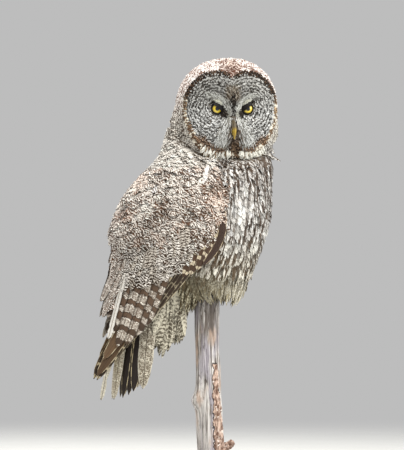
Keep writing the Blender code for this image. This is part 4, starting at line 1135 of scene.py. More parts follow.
# Neck: a short band between head and trunk, mottled grey-brown and white
NECK = {"length": 0.0170, "half": 0.0042, "rise": 0.0052, "splay": 13}


def on_neck(points):
    foot = np.where(breast_share(points) >= 0.5, 0.612, 0.588)
    return (points[:, 2] > foot) & (points[:, 2] <= CROWN_FOOT) & (face_share(points) > 1.0)


roots, normals = scatter(0.0044, on_neck)
count = len(roots)
side, up, front = in_head(roots)
NECK["stand_off"] = 0.0040 * jowl_share(side, up, front)
NECK["stand_off"] += 0.0035 * eased(side / 0.04) * bell(up, -0.068, 0.014)
front_side = breast_share(roots)
pale = shaded(count, srgb(246, 240, 230), 0.09, srgb(240, 236, 228), 0.09, front_side)
dark = tinted(srgb(72, 56, 41), count, 0.18)
lighter = 0.46 + 0.9 * patchy(roots, 0.012, 7.0)
looks = (pale, dark, marks_for(lighter, 0.85, 0.35 + 0.3 * front_side))
small_feathers("coat_neck", "back_feather", back_paint, roots, normals, NECK, looks)

# Mantle and wings: grey-brown with curly white cross bars, and darker blotches
MANTLE = {"length": 0.0235, "half": 0.0066, "rise": 0.0062, "splay": 11}


def over_hand(points):
    """Where the quills and coverts of the hand show instead, low along the folded wing's front edge."""
    lead = np.interp(points[:, 2], LEAD_HEIGHTS, LEAD_X)
    width = 0.020 - 0.014 * past(points[:, 2], 0.442, 0.008)
    return (points[:, 2] < 0.476) & (points[:, 0] > lead - width)


def on_mantle(points):
    low_enough = (points[:, 2] > 0.404) & (points[:, 2] <= 0.590)
    return low_enough & (breast_share(points) < 0.5) & ~over_hand(points)


roots, normals = scatter(0.0056, on_mantle)
count = len(roots)
pale = tinted(WHITE, count, 0.08)
dark = tinted(BROWN, count, 0.20)
blotch = patchy(roots, 0.026, 1.0)
warm = eased(patchy(roots, 0.035, 5.0) * 1.5)
front_warm = np.exp(-(((roots[:, 0] - 0.014) / 0.024) ** 2) - ((roots[:, 2] - 0.538) / 0.032) ** 2)
warm = np.maximum(0.75 * warm, front_warm)
dark = toward(dark, RED_BROWN, 0.12, 0.75 * warm)
pale = toward(pale, srgb(226, 204, 186), 0.08, 0.6 * warm)
# The top of the back, towards the rear, is painted lighter: a painted rim of light
painted_rim_light = past(roots[:, 2], 0.50, 0.07) * past(-roots[:, 0], 0.02, 0.06)
# The lower mantle, which faces downwards, is painted darker: painted shade
painted_low_shade = past(roots[:, 2], 0.50, -0.08) * past(roots[:, 0], -0.172, 0.03)
shoulder_white = np.exp(-(((roots[:, 0] + 0.018) / 0.0055) ** 2) - ((roots[:, 2] - 0.566) / 0.014) ** 2)
lighter = -0.14 + 0.75 * blotch + 0.3 * patchy(roots, 0.010, 9.0)
lighter = lighter + 0.38 * painted_rim_light - 0.50 * painted_low_shade + 1.5 * shoulder_white
dark = toward(dark, srgb(46, 36, 23), 0.2, 0.75 * painted_low_shade)
dark = toward(dark, DEEP_BROWN, 0.2, eased(-blotch * 0.9))
lighter = np.maximum(lighter, -0.65)
rear_fold = past(-roots[:, 0], 0.120, 0.03) * bell(roots[:, 2], 0.445, 0.035)
MANTLE["stand_off"] = 0.0034 * rear_fold
looks = (pale, dark, marks_for(lighter, 0.95, 0.25 + 0.3 * (blotch < -0.3)))
small_feathers("coat_mantle", "back_feather", back_paint, roots, normals, MANTLE, looks)

# Breast and belly: loose long feathers, white to buff, each with a brown streak along its shaft
BREAST = {"length": 0.0310, "half": 0.0050, "rise": 0.0066, "splay": 9}


def on_breast(points):
    return (points[:, 2] > 0.400) & (points[:, 2] <= 0.614) & (breast_share(points) >= 0.5)


roots, normals = scatter(0.0050, on_breast)
count = len(roots)
low = past(roots[:, 2], 0.50, -0.10)
pale = shaded(count, srgb(252, 249, 243), 0.06, srgb(246, 241, 226), 0.07, low)
dark = shaded(count, srgb(66, 48, 31), 0.15, srgb(84, 66, 44), 0.15, low)
column = patchy(roots * (1.0, 1.0, 0.22), 0.0065, 2.0)
high = past(roots[:, 2], 0.525, 0.04)
lighter = 0.54 + 0.10 * low - 0.24 * high + 0.45 * patchy(roots, 0.02, 8.0)
by_shoulder = np.exp(-(((roots[:, 0] - 0.055 - 0.35 * (roots[:, 2] - 0.526)) / 0.013) ** 2))
by_shoulder = by_shoulder * bell(roots[:, 2], 0.524, 0.026)
dark = blended(dark, pale, 0.55 * by_shoulder)
streaked = 0.75 * eased(column * 2.0 + 0.25 + 0.5 * high) * (1 - by_shoulder)
looks = (pale, dark, marks_for(lighter, 0.30, streaked))
small_feathers(
    "coat_breast", "breast_feather", breast_paint, roots, normals, BREAST, looks, outline=SOFT_TIP
)

# Under the belly and on the legs and toes: short plain buff down, finest on the toes
LEGS = {"length": 0.0105, "half": 0.0020, "rise": 0.0020, "splay": 16}


def leg_way(points):
    """Down, and outwards as well on the toes."""
    on_toes = (points[:, 2] < ANKLE_HEIGHT)[:, None]
    return points * (12.6, 12.6, 0.0) * on_toes - UP


def on_legs(points):
    near = np.hypot(points[:, 0], points[:, 1]) < 0.036
    return (points[:, 2] < 0.398) & near & (points[:, 2] > 0.336)


roots, normals = scatter(0.0026, on_legs)
count = len(roots)
pale = tinted(srgb(205, 196, 170), count, 0.10)
dark = tinted(srgb(120, 104, 78), count, 0.12)
looks = (pale, dark, marks_for(0.3 + 0.4 * patchy(roots, 0.01, 6.0), 0.5, 0.2))
small_feathers("coat_legs", "breast_feather", crown_paint, roots, normals, LEGS, looks, way=leg_way)

# Flight feathers
# The long feathers of the folded wings and the tail, each a stiff closed vane with a shaft, a little
# arched, barred brown and buff. They lie in tiers on the wing's outer face, coverts over their roots.

# The wing's outer face: height, x of its crown, half width there, radius round the back
WING_SHEET = (
    (0.140, -0.2100, 0.0350, 0.060), (0.184, -0.1980, 0.0400, 0.060),
    (0.240, -0.1580, 0.0560, 0.060), (0.280, -0.1330, 0.0640, 0.063),
    (0.330, -0.1050, 0.0740, 0.070), (0.370, -0.0820, 0.0850, 0.080),
    (0.410, -0.0600, 0.0960, 0.096), (0.465, -0.0350, 0.1070, 0.113),
    (0.523, -0.0200, 0.1090, 0.110), (0.565, -0.0060, 0.1050, 0.100),
    (0.600, 0.0050, 0.0950, 0.090),
)
# Side view x and z of the rows' roots, and of their feathers' tips from first to last
PRIMARY_ROOTS = ((-0.010, 0.452), (-0.075, 0.405))
PRIMARY_TIPS = (
    (-0.121, 0.300), (-0.146, 0.268), (-0.172, 0.236), (-0.198, 0.205),
    (-0.217, 0.182), (-0.2165, 0.190), (-0.206, 0.222),
)
SECONDARY_ROOTS = ((-0.082, 0.405), (-0.160, 0.415))
SECONDARY_TIPS = (
    (-0.129, 0.283), (-0.144, 0.265), (-0.161, 0.250), (-0.178, 0.246),
    (-0.189, 0.268), (-0.194, 0.300),
)
SCAPULAR_ROOTS = ((-0.052, 0.452), (-0.165, 0.430))
SCAPULAR_TIPS = (
    (-0.048, 0.405), (-0.068, 0.381), (-0.097, 0.366), (-0.128, 0.357),
    (-0.158, 0.352), (-0.185, 0.346),
)
VANE_COLUMNS = np.array((-1.0, -0.82, -0.5, -0.2, -0.045, 0.0, 0.045, 0.2, 0.5, 0.82, 1.0))


def read_table(table, x):
    """The columns of a table at x, on straight lines between its rows. The first column is x."""
    columns = list(zip(*table))
    return [np.interp(x, columns[0], column) for column in columns[1:]]


def along_row(points, share):
    """A point of a row at a share of its length, by even steps from one listed point to the next."""
    points = np.asarray(points, float)
    at = np.linspace(0, 1, len(points))
    return np.array([np.interp(share, at, points[:, axis]) for axis in range(points.shape[1])])


def sheet_half(x, z):
    crown, half, radius = read_table(WING_SHEET, z)
    return half - (x - crown) ** 2 / (2 * radius)


def on_wing(x, z, lift):
    """Points of the right wing's outer face raised by lift, and the outward normals there."""
    step = 0.004
    y = sheet_half(x, z)
    dx = (sheet_half(x + step, z) - sheet_half(x - step, z)) / (2 * step)
    dz = (sheet_half(x, z + step) - sheet_half(x, z - step)) / (2 * step)
    normals = unit(np.stack((-dx, -np.ones_like(x), -dz), 1))
    return np.stack((x, -y, z), 1) + normals * lift[:, None], normals


def vane_width(share, blunt, root=0.55):
    """A vane's half width at shares from root to tip, as a share of its widest."""
    shoulder = np.minimum(1.0, root + 1.5 * share)
    rounded = np.sqrt(np.clip(1 - ((share - 1 + blunt) / blunt) ** 2, 0, 1))
    return np.where(share < 1 - blunt, shoulder, shoulder * np.maximum(0.04, rounded))


def grid_triangles(grid):
    """Triangles over a grid of point numbers."""
    a, b, c, d = grid[:-1, :-1], grid[:-1, 1:], grid[1:, 1:], grid[1:, :-1]
    return np.concatenate([np.stack([p.ravel() for p in three], 1) for three in ((a, b, c), (a, c, d))])


def long_vane(
    line, ups, half, blunt, tilt=0.0, arch=0.10, thick=0.0011, narrow=0.55, uneven=0.0, rough=0.02,
    across=VANE_COLUMNS,
):
    """One long feather on its line: a closed vane of two faces that share their edge, with a raised
    shaft. narrow is its width at the root, and uneven takes width off its first side."""
    rows = len(line)
    share = np.linspace(0, 1, rows)
    alongs = unit(np.gradient(line, axis=0))
    ups = laid(ups, alongs)
    ups = ups * cos(tilt) + np.cross(alongs, ups) * sin(tilt)
    acrosses = np.cross(alongs, ups)
    widths = half * vane_width(share, blunt, narrow)
    ragged = 1 + rough * random.normal(0, 1, rows)
    first_side = 1 - uneven
    spans = np.where(across[None] < 0, first_side, 1.0) * across[None]
    offsets = spans * (widths * ragged)[:, None]
    lifts = -arch * np.abs(offsets) * np.abs(spans)
    lifts += 0.0005 * (1 - 0.7 * share)[:, None] * bell(offsets, 0.0, 0.0009)
    top = line[:, None] + acrosses[:, None] * offsets[..., None] + ups[:, None] * lifts[..., None]
    depth = thick * (1 - np.abs(across) ** 3)[None] * (1 - 0.5 * share)[:, None]
    bottom = top - ups[:, None] * depth[..., None]
    columns = len(across)
    grid = np.arange(rows * columns).reshape(rows, columns)
    lower = grid.copy()
    inner = (rows - 2) * (columns - 2)
    lower[1:-1, 1:-1] = rows * columns + np.arange(inner).reshape(rows - 2, columns - 2)
    points = np.concatenate((top.reshape(-1, 3), bottom[1:-1, 1:-1].reshape(-1, 3)))
    triangles = np.concatenate((grid_triangles(grid), grid_triangles(lower)[:, ::-1]))
    spread = np.stack(np.broadcast_arrays(across[None], share[:, None]), 2)
    lengths = np.append(0, np.cumsum(np.linalg.norm(np.diff(line, axis=0), axis=1)))
    vane = np.stack(np.broadcast_arrays(offsets, lengths[:, None]), 2)
    both = [np.concatenate((v.reshape(-1, 2), v[1:-1, 1:-1].reshape(-1, 2))) for v in (spread, vane)]
    return {"points": points, "triangles": triangles, "spread": both[0], "vane": both[1]}


def long_piece(name, slot, surface, feathers, *replaced):
    """Joins long feathers into one piece. Each has its paint in pale, dark and marks."""
    points, triangles = put_together([(feather["points"], feather["triangles"]) for feather in feathers])
    patches = [patch_of(feather["points"][:1], feather["spread"], False)[0] for feather in feathers]
    places = {"OFBake": np.concatenate(patches)}
    for title in ("vane", "spread"):
        places[title] = np.concatenate([feather[title] for feather in feathers])
    paints = {}
    for title in ("pale", "dark", "marks"):
        tiles = [np.tile(feather[title], (len(feather["points"]), 1)) for feather in feathers]
        paints[title] = np.concatenate(tiles)
    mesh = triangle_mesh(name, points, triangles, 70)
    fitted(dressed(mesh, triangles, places, paints), surface, slot, *replaced)


def painted(feather, pale, dark, lighter, contrast, streak):
    """Gives a long feather its paint: pale and dark colour, and the levels of its marks."""
    shade = random.normal(1.0, 0.05)
    feather["pale"] = np.append(np.clip(np.asarray(pale) * shade, 0, 1), 1.0)
    feather["dark"] = np.append(np.clip(np.asarray(dark) * shade, 0, 1), 1.0)
    feather["marks"] = np.array((lighter, contrast, streak, random.random()))
    return feather


def flipped(feather):
    """The same feather on the other side of the body."""
    copy = dict(feather)
    copy["points"] = feather["points"] * (1, -1, 1)
    copy["triangles"] = feather["triangles"][:, ::-1]
    return copy


def on_both_wings(name, slot, surface, feathers, node=""):
    """The same feathers on the right wing and, mirrored, on the left. node starts the names of the nodes
    that they replace."""
    for word, side in (("right", feathers), ("left", [flipped(feather) for feather in feathers])):
        replaced = [f"{node}_{word}"] if node else []
        long_piece(f"{name}_{word}", slot, surface, side, *replaced)


def wing_feather(root, tip, half, lifts, bend, blunt, tilt=7.0, rows=26, **shape):
    """A long feather laid on the right wing's face from root to tip in the side view, bent in plane."""
    share = np.linspace(0, 1, rows)
    root, tip = np.asarray(root, float), np.asarray(tip, float)
    off = np.array((tip[1] - root[1], root[0] - tip[0]))
    off = off / np.linalg.norm(off) * bend
    flat = root + (tip - root) * share[:, None] + off * np.sin(pi * share)[:, None]
    line, ups = on_wing(flat[:, 0], flat[:, 1], lifts[0] + (lifts[1] - lifts[0]) * share)
    return long_vane(line, ups, half, blunt, radians(tilt), **shape)


BAR_LEVELS = ("Lighter", "Fine Bars", "Edge", "Seed")
bars_group, given, results = paint_group(
    "broad_bars",
    {"Color": ("Pale", "Dark"), "Float": (*BAR_LEVELS, "Period"), "Vector": ("Vane", "Spread")},
    {"Color": ("Colour",), "Float": ("Barbs",)},
)
across, along = parted(given["Vane"])[:2]
across_share, along_share = parted(given["Spread"])[:2]
ripple = mottle(joined(across * 190.0, along * 190.0, given["Seed"] * 43.0)) - 0.5
phase = along / given["Period"] + given["Seed"] * 0.75 + ripple * 0.5 + abs(across) * -11.0
wave = maths("SINE", phase * FULL_TURN)
level = wave + given["Lighter"]
fine = maths("SINE", (along / (given["Period"] * 0.32) + ripple * 4.0) * FULL_TURN)
fine = (1.0 - step_between(fine, -0.15, 0.5)) * given["Fine Bars"]
# A pale bar is tan inside its white rim, and a dark one nearly black at its rim and near the tip
tan = mixed(0.52, given["Dark"], given["Pale"])
inside = step_between(level, 0.35, 0.65) * given["Fine Bars"]
vane_colour = mixed(inside * 0.8, given["Pale"], tan)
vane_colour = mixed(fine, vane_colour, mixed(0.14, given["Dark"], given["Pale"]))
nearly_black = mixed(0.75, given["Dark"], (0.012, 0.008, 0.004))
rim = maths("MAXIMUM", step_between(level, -0.62, -0.34), step_between(along_share, 0.66, 0.92))
rimmed = mixed(rim * given["Fine Bars"] * 0.8, given["Dark"], nearly_black)
vane_colour = mixed(step_between(level, -0.14, 0.14), rimmed, vane_colour)
# A vane without a pale edge gets a thin, nearly black line along its sides: painted shade where the
# feathers overlap
painted_edge_shade = maths("SUBTRACT", given["Fine Bars"], given["Edge"], clamp=True)
vane_colour = mixed(step_between(abs(across_share), 0.84, 0.95) * painted_edge_shade, vane_colour, nearly_black)
dashed = step_between(wave, -0.5, 0.0) * 0.75 + 0.25
pale_edge = step_between(abs(across_share), 0.80, 0.93) * given["Edge"] * dashed
vane_colour = mixed(pale_edge, vane_colour, given["Pale"])
shaft_colour = mixed(0.5, given["Dark"], (0.03, 0.02, 0.012))
feed(results["Colour"], mixed(step_between(abs(across), 0.0004, 0.0009), shaft_colour, vane_colour))
feed(results["Barbs"], maths("SINE", (along + abs(across)) * 7000.0))


def flight_material(name, period):
    """A flight feather's finish: broad bars from the group, firmer and smoother than body feathers."""
    constants = {"Roughness": 0.62, "Sheen Weight": 0.08, "Specular IOR Level": 0.35}
    made, tree, shader = new_material(name, constants)
    painted_on = in_group(tree, bars_group, feather_values(tree, *BAR_LEVELS) | {"Period": period})
    feed(shader.inputs["Base Color"], painted_on["Colour"])
    bumped(shader, painted_on["Barbs"], 0.0002, 0.3)
    return made


wing_paint = flight_material("flight_feather", 0.026)

right_wing = []
PRIMARY_COUNT = 7
for k in range(PRIMARY_COUNT):
    share = k / (PRIMARY_COUNT - 1)
    tip = along_row(PRIMARY_TIPS, share)
    lifts = (-0.0090 + 0.0025 * share, -0.0165 + 0.0084 * share)
    bend = -0.0120 + 0.0160 * min(1.0, 2.2 * share)
    half = 0.0150 - 0.0018 * sin(pi * share)
    vane = wing_feather(along_row(PRIMARY_ROOTS, share), tip, half, lifts, bend, 0.30, uneven=0.25)
    dark = (srgb(54, 38, 24), srgb(94, 70, 46), srgb(118, 91, 63))[max(0, k - 4)]
    bars = (-1.02, -1.02, -1.02, -1.02, -0.72, -1.16, -1.6)[k]
    edge = (0.85, 0.45, 0.45, 0.45, 0.30, 0.95, 0.95)[k]
    right_wing.append(painted(vane, srgb(222, 206, 172), dark, bars, 0.30, edge))
SECONDARY_COUNT = 6
for k in range(SECONDARY_COUNT):
    share = k / (SECONDARY_COUNT - 1)
    tip = along_row(SECONDARY_TIPS, share)
    lifts = (-0.0045, -0.0035 + 0.0030 * share)
    vane = wing_feather(along_row(SECONDARY_ROOTS, share), tip, 0.0122, lifts, 0.001, 0.24, 9)
    bars = -0.1 + random.normal(0, 0.2)
    right_wing.append(painted(vane, srgb(244, 236, 222), srgb(102, 80, 62), bars, 0.9, 0.05))
    right_wing[-1]["marks"][3] = (0.56 * k + 0.5 * random.random()) % 1.0
# The inner feather whose white edge shows as one long stripe, and two curly-barred ones beside it
STRIPE = ((-0.160, 0.395), (-0.1925, 0.2595), 0.0062)
INNER = (((-0.160, 0.420), (-0.2010, 0.300), 0.0110), ((-0.166, 0.420), (-0.2020, 0.330), 0.0105))
vane = wing_feather(STRIPE[0], STRIPE[1], STRIPE[2], (-0.0012, 0.0024), 0.0, 0.12, rough=0.08)
right_wing.append(painted(vane, srgb(246, 243, 236), srgb(176, 158, 132), 1.25, 0.25, 0.0))
for root, tip, half in INNER:
    vane = wing_feather(root, tip, half, (0.0012, 0.0024), 0.0, 0.30, 9)
    right_wing.append(painted(vane, srgb(246, 239, 228), srgb(92, 66, 44), 1.3, 1.0, 0.1))
on_both_wings("wing_quills", "flight_feather", wing_paint, right_wing, "wing")

# Wing coverts
# Four rows of broad, curly-barred feathers whose scalloped edge lies over the roots of the long ones,
# ragged ones down the wing's rear edge, white ones at the shoulder, and the narrow dark feathers of the
# hand along the folded wing's leading edge, with pale rims.
COVERT_TIERS = 4
COVERTS_EACH = 15
coverts = []
for tier in range(COVERT_TIERS):
    for k in range(COVERTS_EACH):
        share = (k + (0.5 if tier % 2 else 0.0) + random.normal(0, 0.12)) / (COVERTS_EACH - 0.5)
        share = float(np.clip(share, 0, 1))
        tip = along_row(SCAPULAR_TIPS, share) + random.normal(0, 0.0014, 2)
        root_way = unit(along_row(SCAPULAR_ROOTS, share) - tip)
        tip = tip + root_way * 0.0115 * tier
        root = tip + root_way * 0.040
        lifts = (-0.0030 + 0.0006 * tier, 0.0004 + 0.0008 * tier)
        vane = wing_feather(root, tip, 0.0085, lifts, 0.0006, 0.52, 5 + random.normal(0, 3), 12, arch=0.16)
        pale = WHITE if random.random() < 0.6 else srgb(216, 207, 194)
        coverts.append(painted(vane, pale, srgb(62, 46, 31), 0.06 + random.normal(0, 0.2), 1.0, 0.35))
# Side view line of the tips down the rear edge
REAR_EDGE = ((-0.177, 0.408), (-0.190, 0.308))
REAR_COVERTS = 34
for k in range(REAR_COVERTS):
    share = (k + random.random()) / REAR_COVERTS
    tip = along_row(REAR_EDGE, share) + random.normal(0, (0.0034, 0.0020))
    root = tip + (0.006 + random.normal(0, 0.003), 0.026)
    lifts = (-0.0040, 0.0032)
    tilt = 5 + random.normal(0, 5)
    vane = wing_feather(root, tip, 0.0070, lifts, 0.0004, 0.55, tilt, 10, arch=0.2, rough=0.06)
    coverts.append(painted(vane, WHITE, srgb(98, 68, 44), 0.05 + random.normal(0, 0.2), 1.0, 0.2))
# Side view root and tip of the white ones at the shoulder
SHOULDER_WHITE = (
    ((-0.0120, 0.590), (-0.0165, 0.567)),
    ((-0.0170, 0.584), (-0.0195, 0.562)),
    ((-0.0135, 0.580), (-0.0185, 0.557)),
    ((-0.0185, 0.574), (-0.0220, 0.552)),
)
for root, tip in SHOULDER_WHITE:
    vane = wing_feather(root, tip, 0.0034, (-0.0060, 0.0014), 0.0004, 0.6, 4, 10, arch=0.2, rough=0.08)
    coverts.append(painted(vane, srgb(252, 249, 244), BROWN, 0.9, 0.8, 0.0))
on_both_wings("wing_coverts", "back_feather", back_paint, coverts)

# Side view root and tip, half width, lifts at root and tip, bend, and whether dark or barred
HAND = (
    ((-0.022, 0.450), (-0.058, 0.378), 0.0100, -0.0050, 0.0030, 0.001, "barred"),
    ((-0.010, 0.456), (-0.045, 0.383), 0.0100, -0.0045, 0.0042, 0.001, "barred"),
    ((0.000, 0.462), (-0.033, 0.392), 0.0095, -0.0040, 0.0050, 0.001, "barred"),
    ((0.009, 0.486), (-0.0260, 0.409), 0.0070, -0.0080, 0.0046, -0.006, "barred"),
    ((0.019, 0.503), (-0.0230, 0.402), 0.0086, -0.0060, 0.0060, -0.015, "dark"),
)
HAND_PAINT = {
    "barred": (srgb(226, 211, 182), srgb(78, 54, 35), -0.48, 0.45, 0.35),
    "dark": (srgb(226, 206, 170), srgb(56, 36, 24), -1.3, 0.0, 0.8),
}
hand = []
for root, tip, half, low, high, bend, kind in HAND:
    vane = wing_feather(root, tip, half, (low, high), bend, 0.42, rows=20)
    hand.append(painted(vane, *HAND_PAINT[kind]))
on_both_wings("hand_coverts", "flight_feather", flight_material("hand_feather", 0.020), hand)

# Tail
# Six pairs of tail feathers in two halves that droop like a low tent, brown with buff marks, and the
# soft barred coverts that hang over and under their roots.
TAIL_PAIRS = 6
TAIL_ROOT_IN = np.array((-0.148, 0.004, 0.384))
TAIL_ROOT_OUT = np.array((-0.104, 0.022, 0.384))
TAIL_TIP_IN = np.array((-0.194, 0.008, 0.146))
TAIL_TIP_OUT = np.array((-0.128, 0.040, 0.166))
TAIL_HALF_WIDTH = 0.0150
TAIL_LONGEST_EXTRA = 0.006
TAIL_ROWS = 26
tail_paint = flight_material("tail_feather", 0.027)


def hung_feather(root, tip, half, facing, bow, blunt, rows=10, **shape):
    """A feather that hangs from root to tip, its flat side towards facing, bowed outwards."""
    share = np.linspace(0, 1, rows)[:, None]
    root, tip = np.asarray(root, float), np.asarray(tip, float)
    ups = laid(np.asarray(facing, float)[None], unit(tip - root)[None])
    line = root + (tip - root) * share + ups * bow * np.sin(pi * share)
    return long_vane(line, np.repeat(ups, rows, 0), half, blunt, **shape)


tail = []
for k in range(TAIL_PAIRS):
    share = k / (TAIL_PAIRS - 1)
    root = TAIL_ROOT_IN + (TAIL_ROOT_OUT - TAIL_ROOT_IN) * share
    tip = TAIL_TIP_IN + (TAIL_TIP_OUT - TAIL_TIP_IN) * share
    tip = tip - UP * TAIL_LONGEST_EXTRA * sin(pi * min(1.0, share + 0.15))
    tip[0] += (-0.009, 0.001, 0.004, 0.001, -0.004, 0.0)[k]
    slope = radians(66 - 40 * share)
    along = unit(tip - root)
    across = unit(laid(np.array((cos(slope), sin(slope), 0.0))[None], along[None])[0])
    facing = np.cross(across, along)
    half = TAIL_HALF_WIDTH * (0.62, 0.74, 0.56, 0.60, 0.72, 1.0)[k]
    rough = 0.22 if k == 0 else 0.02
    shape = {"tilt": radians(10), "thick": 0.0012, "rough": rough}
    vane = hung_feather(root, tip, half, facing, 0.004, 0.34, TAIL_ROWS, **shape)
    if share > 0.9:
        tail.append(painted(vane, srgb(236, 228, 208), srgb(84, 68, 46), 1.05, 1.0, 0.7))
    elif k < 2:
        tail.append(painted(vane, srgb(250, 245, 226), srgb(132, 112, 84), 1.25, 0.45 + 0.4 * k, 0.6))
    else:
        tail.append(painted(vane, srgb(222, 204, 164), srgb(30, 19, 12), -1.12, 0.2, 1.0))
tail += [flipped(feather) for feather in tail]
long_piece("tail_quills", "flight_feather", tail_paint, tail, "tail")

# Under the tail's root, then over it: middle of the roots, and the tips of one side
UNDERTAIL_ROOT = (-0.064, 0.0, 0.360)
UNDERTAIL_TIPS = (
    (-0.112, 0.034, 0.262), (-0.104, 0.034, 0.244), (-0.098, 0.018, 0.236),
    (-0.083, 0.016, 0.222), (-0.069, 0.018, 0.250), (-0.054, 0.013, 0.244),
    (-0.038, 0.010, 0.284),
)
UPPERTAIL_ROOT = (-0.160, 0.0, 0.375)
UPPERTAIL_TIPS = ((-0.181, 0.002, 0.292), (-0.178, 0.009, 0.306))


def soft_coverts(root, tips, count, half, pale, dark):
    """Soft barred feathers between a root line and a row of tips, in layers on both sides."""
    made = []
    for side in (-1, 1):
        for k in range(count):
            share = (k + random.random()) / count
            x, y, z = along_row(tips, share)
            climb = random.random() ** 1.3
            tip = np.array((x, y, z)) + (random.normal(0, 0.003), random.normal(0, 0.002), 0.085 * climb)
            tip[1] = max(0.002, tip[1] + 0.010 * climb)
            start = np.array((root[0] + 0.5 * (x - root[0]), 0.012 + 0.5 * tip[1], tip[2] + 0.060))
            start[2] = min(start[2], 0.402)
            facing = (0.30 + random.normal(0, 0.35), 1.0, 0.15 + random.normal(0, 0.15))
            width = half * random.uniform(0.7, 1.15)
            vane = hung_feather(start, tip, width, facing, 0.004, 0.55, 12, arch=0.25, rough=0.06)
            # Feathers that end higher are painted lighter: painted light against the shade of the wings
            # above them
            vane = painted(vane, pale, dark, 0.1 + 0.9 * climb + random.normal(0, 0.35), 0.75, 0.0)
            made.append(vane if side > 0 else flipped(vane))
    return made


under_paint = feather_material("undertail_feather", 0.0084, 1.9, 0.0012, 0.12, squiggles=0.45)
under = soft_coverts(UNDERTAIL_ROOT, UNDERTAIL_TIPS, 84, 0.0058, srgb(222, 215, 194), srgb(66, 55, 38))
long_piece("undertail_feathers", "breast_feather", under_paint, under, "undertail_coverts")
upper = soft_coverts(UPPERTAIL_ROOT, UPPERTAIL_TIPS, 10, 0.0060, srgb(226, 216, 200), BROWN)
# The rump, which closes the gap between the folded wings
RUMP_FEATHERS = 48
for k in range(RUMP_FEATHERS):
    y = random.uniform(-0.021, 0.021)
    z = 0.394 - 0.066 * (k + random.random()) / RUMP_FEATHERS
    tip = (-0.1725 - 0.10 * (0.400 - z), y, z)
    root = (-0.166, 0.9 * y, min(0.418, z + 0.045))
    vane = hung_feather(root, tip, 0.0064, (-1.0, 14 * y, 0.15), 0.002, 0.55, 12, arch=0.2, rough=0.06)
    upper.append(painted(vane, srgb(238, 231, 218), BROWN, 0.15 + random.normal(0, 0.25), 0.95, 0.2))
long_piece("uppertail_feathers", "back_feather", back_paint, upper, "uppertail_coverts")

# Belly fringe
# The loose ends of the belly's feathers, which hang past its skin over the feet and the top of the
# stem. Each is rooted on the belly, runs down under the ones above it and shows its last third.

# The form that their ends lie on: height, middle in x, half sizes in x and y
SKIRT = (
    (0.314, 0.020, 0.028, 0.028), (0.330, 0.014, 0.048, 0.040),
    (0.350, 0.010, 0.062, 0.048), (0.380, 0.009, 0.074, 0.060),
    (0.410, 0.008, 0.079, 0.069), (0.445, 0.008, 0.084, 0.077),
)
FRINGE_TIERS = 13
FRINGE_EACH = 60
FRINGE_LENGTH = 0.034
FRINGE_ROWS = 10
LOOSE_COLUMNS = np.array((-1.0, -0.5, 0.0, 0.5, 1.0))


def curve_through(rows, count):
    """Points of a smooth curve through listed rows."""
    rows = np.asarray(rows, float)
    at = np.linspace(0, len(rows) - 1, count)
    padded = np.vstack((2 * rows[0] - rows[1], rows, 2 * rows[-1] - rows[-2]))
    made = []
    for x in at:
        k = min(int(x), len(rows) - 2)
        t = x - k
        a, b, c, d = padded[k : k + 4]
        bend = (2 * a - 5 * b + 4 * c - d) * t**2
        twist = (3 * b - a - 3 * c + d) * t**3
        made.append(0.5 * (2 * b + (c - a) * t + bend + twist))
    return np.array(made)


def on_skirt(turn, z, inset):
    middle, half_x, half_y = read_table(SKIRT, z)
    return np.array((middle + (half_x - inset) * cos(turn), (half_y - inset) * sin(turn), z))


def loose_vane(line, lean, half, blunt, **shape):
    """A thin vane on a line, plainer than a stiff one, its flat side towards lean."""
    ups = np.tile(lean, (FRINGE_ROWS, 1))
    return long_vane(line, ups, half, blunt, thick=0.0007, across=LOOSE_COLUMNS, **shape)


fringe = []
for tier in range(FRINGE_TIERS):
    drop = tier / (FRINGE_TIERS - 1)
    for k in range(FRINGE_EACH):
        turn = radians(-165 + 330 * (k + random.random()) / FRINGE_EACH)
        end_z = 0.402 - 0.078 * drop + random.normal(0, 0.0045)
        end_z += 0.008 * drop * (1 - cos(turn)) / 2
        show_z = end_z + FRINGE_LENGTH * random.uniform(0.8, 1.15)
        root, up = nearest_skin([on_skirt(turn, min(0.450, max(0.408, show_z + 0.010)), 0.004)])
        path = [root[0] - up[0] * 0.001]
        for share, z in ((0.0, max(end_z + 0.012, show_z)), (0.6, (show_z + end_z) / 2), (1.0, end_z)):
            path.append(on_skirt(turn, z, 0.0035 * (1 - share)))
        line = curve_through(path, FRINGE_ROWS)
        sway = np.linspace(0, 1, FRINGE_ROWS) ** 2
        line[:, 1] += random.normal(0, 0.0025) * sway
        line[:, 0] += random.normal(0, 0.002) * sway
        lean = np.array((cos(turn), sin(turn), 0.15)) + 0.25 * random.normal(0, 1, 3)
        half = random.uniform(0.0030, 0.0052) * (1 - 0.42 * drop**2)
        vane = loose_vane(line, lean, half, 0.60, arch=0.22, narrow=0.35, rough=0.07)
        # Low down at the back, under the folded wings, the fringe is painted olive and darker: painted
        # shade under the wing
        low = past(end_z, 0.42, -0.08)
        ahead = low * (1 - cos(turn)) / 2
        pale = srgb(244, 239, 224) * (1 - ahead) + srgb(146, 138, 104) * ahead
        faded = 0.8 * drop**2 * (1 - 0.7 * ahead)
        dark = srgb(84, 68, 48) * (1 - faded) + srgb(188, 178, 146) * faded
        streaked = patchy(np.array(((cos(turn) * 0.07, sin(turn) * 0.07, 0.0),)), 0.0065, 2.0)[0]
        streak = float(eased(streaked * 2.0 + 0.25)) * (1 - 0.9 * drop)
        fringe.append(painted(vane, pale, dark, 0.25 + random.normal(0, 0.3), 0.45, streak))
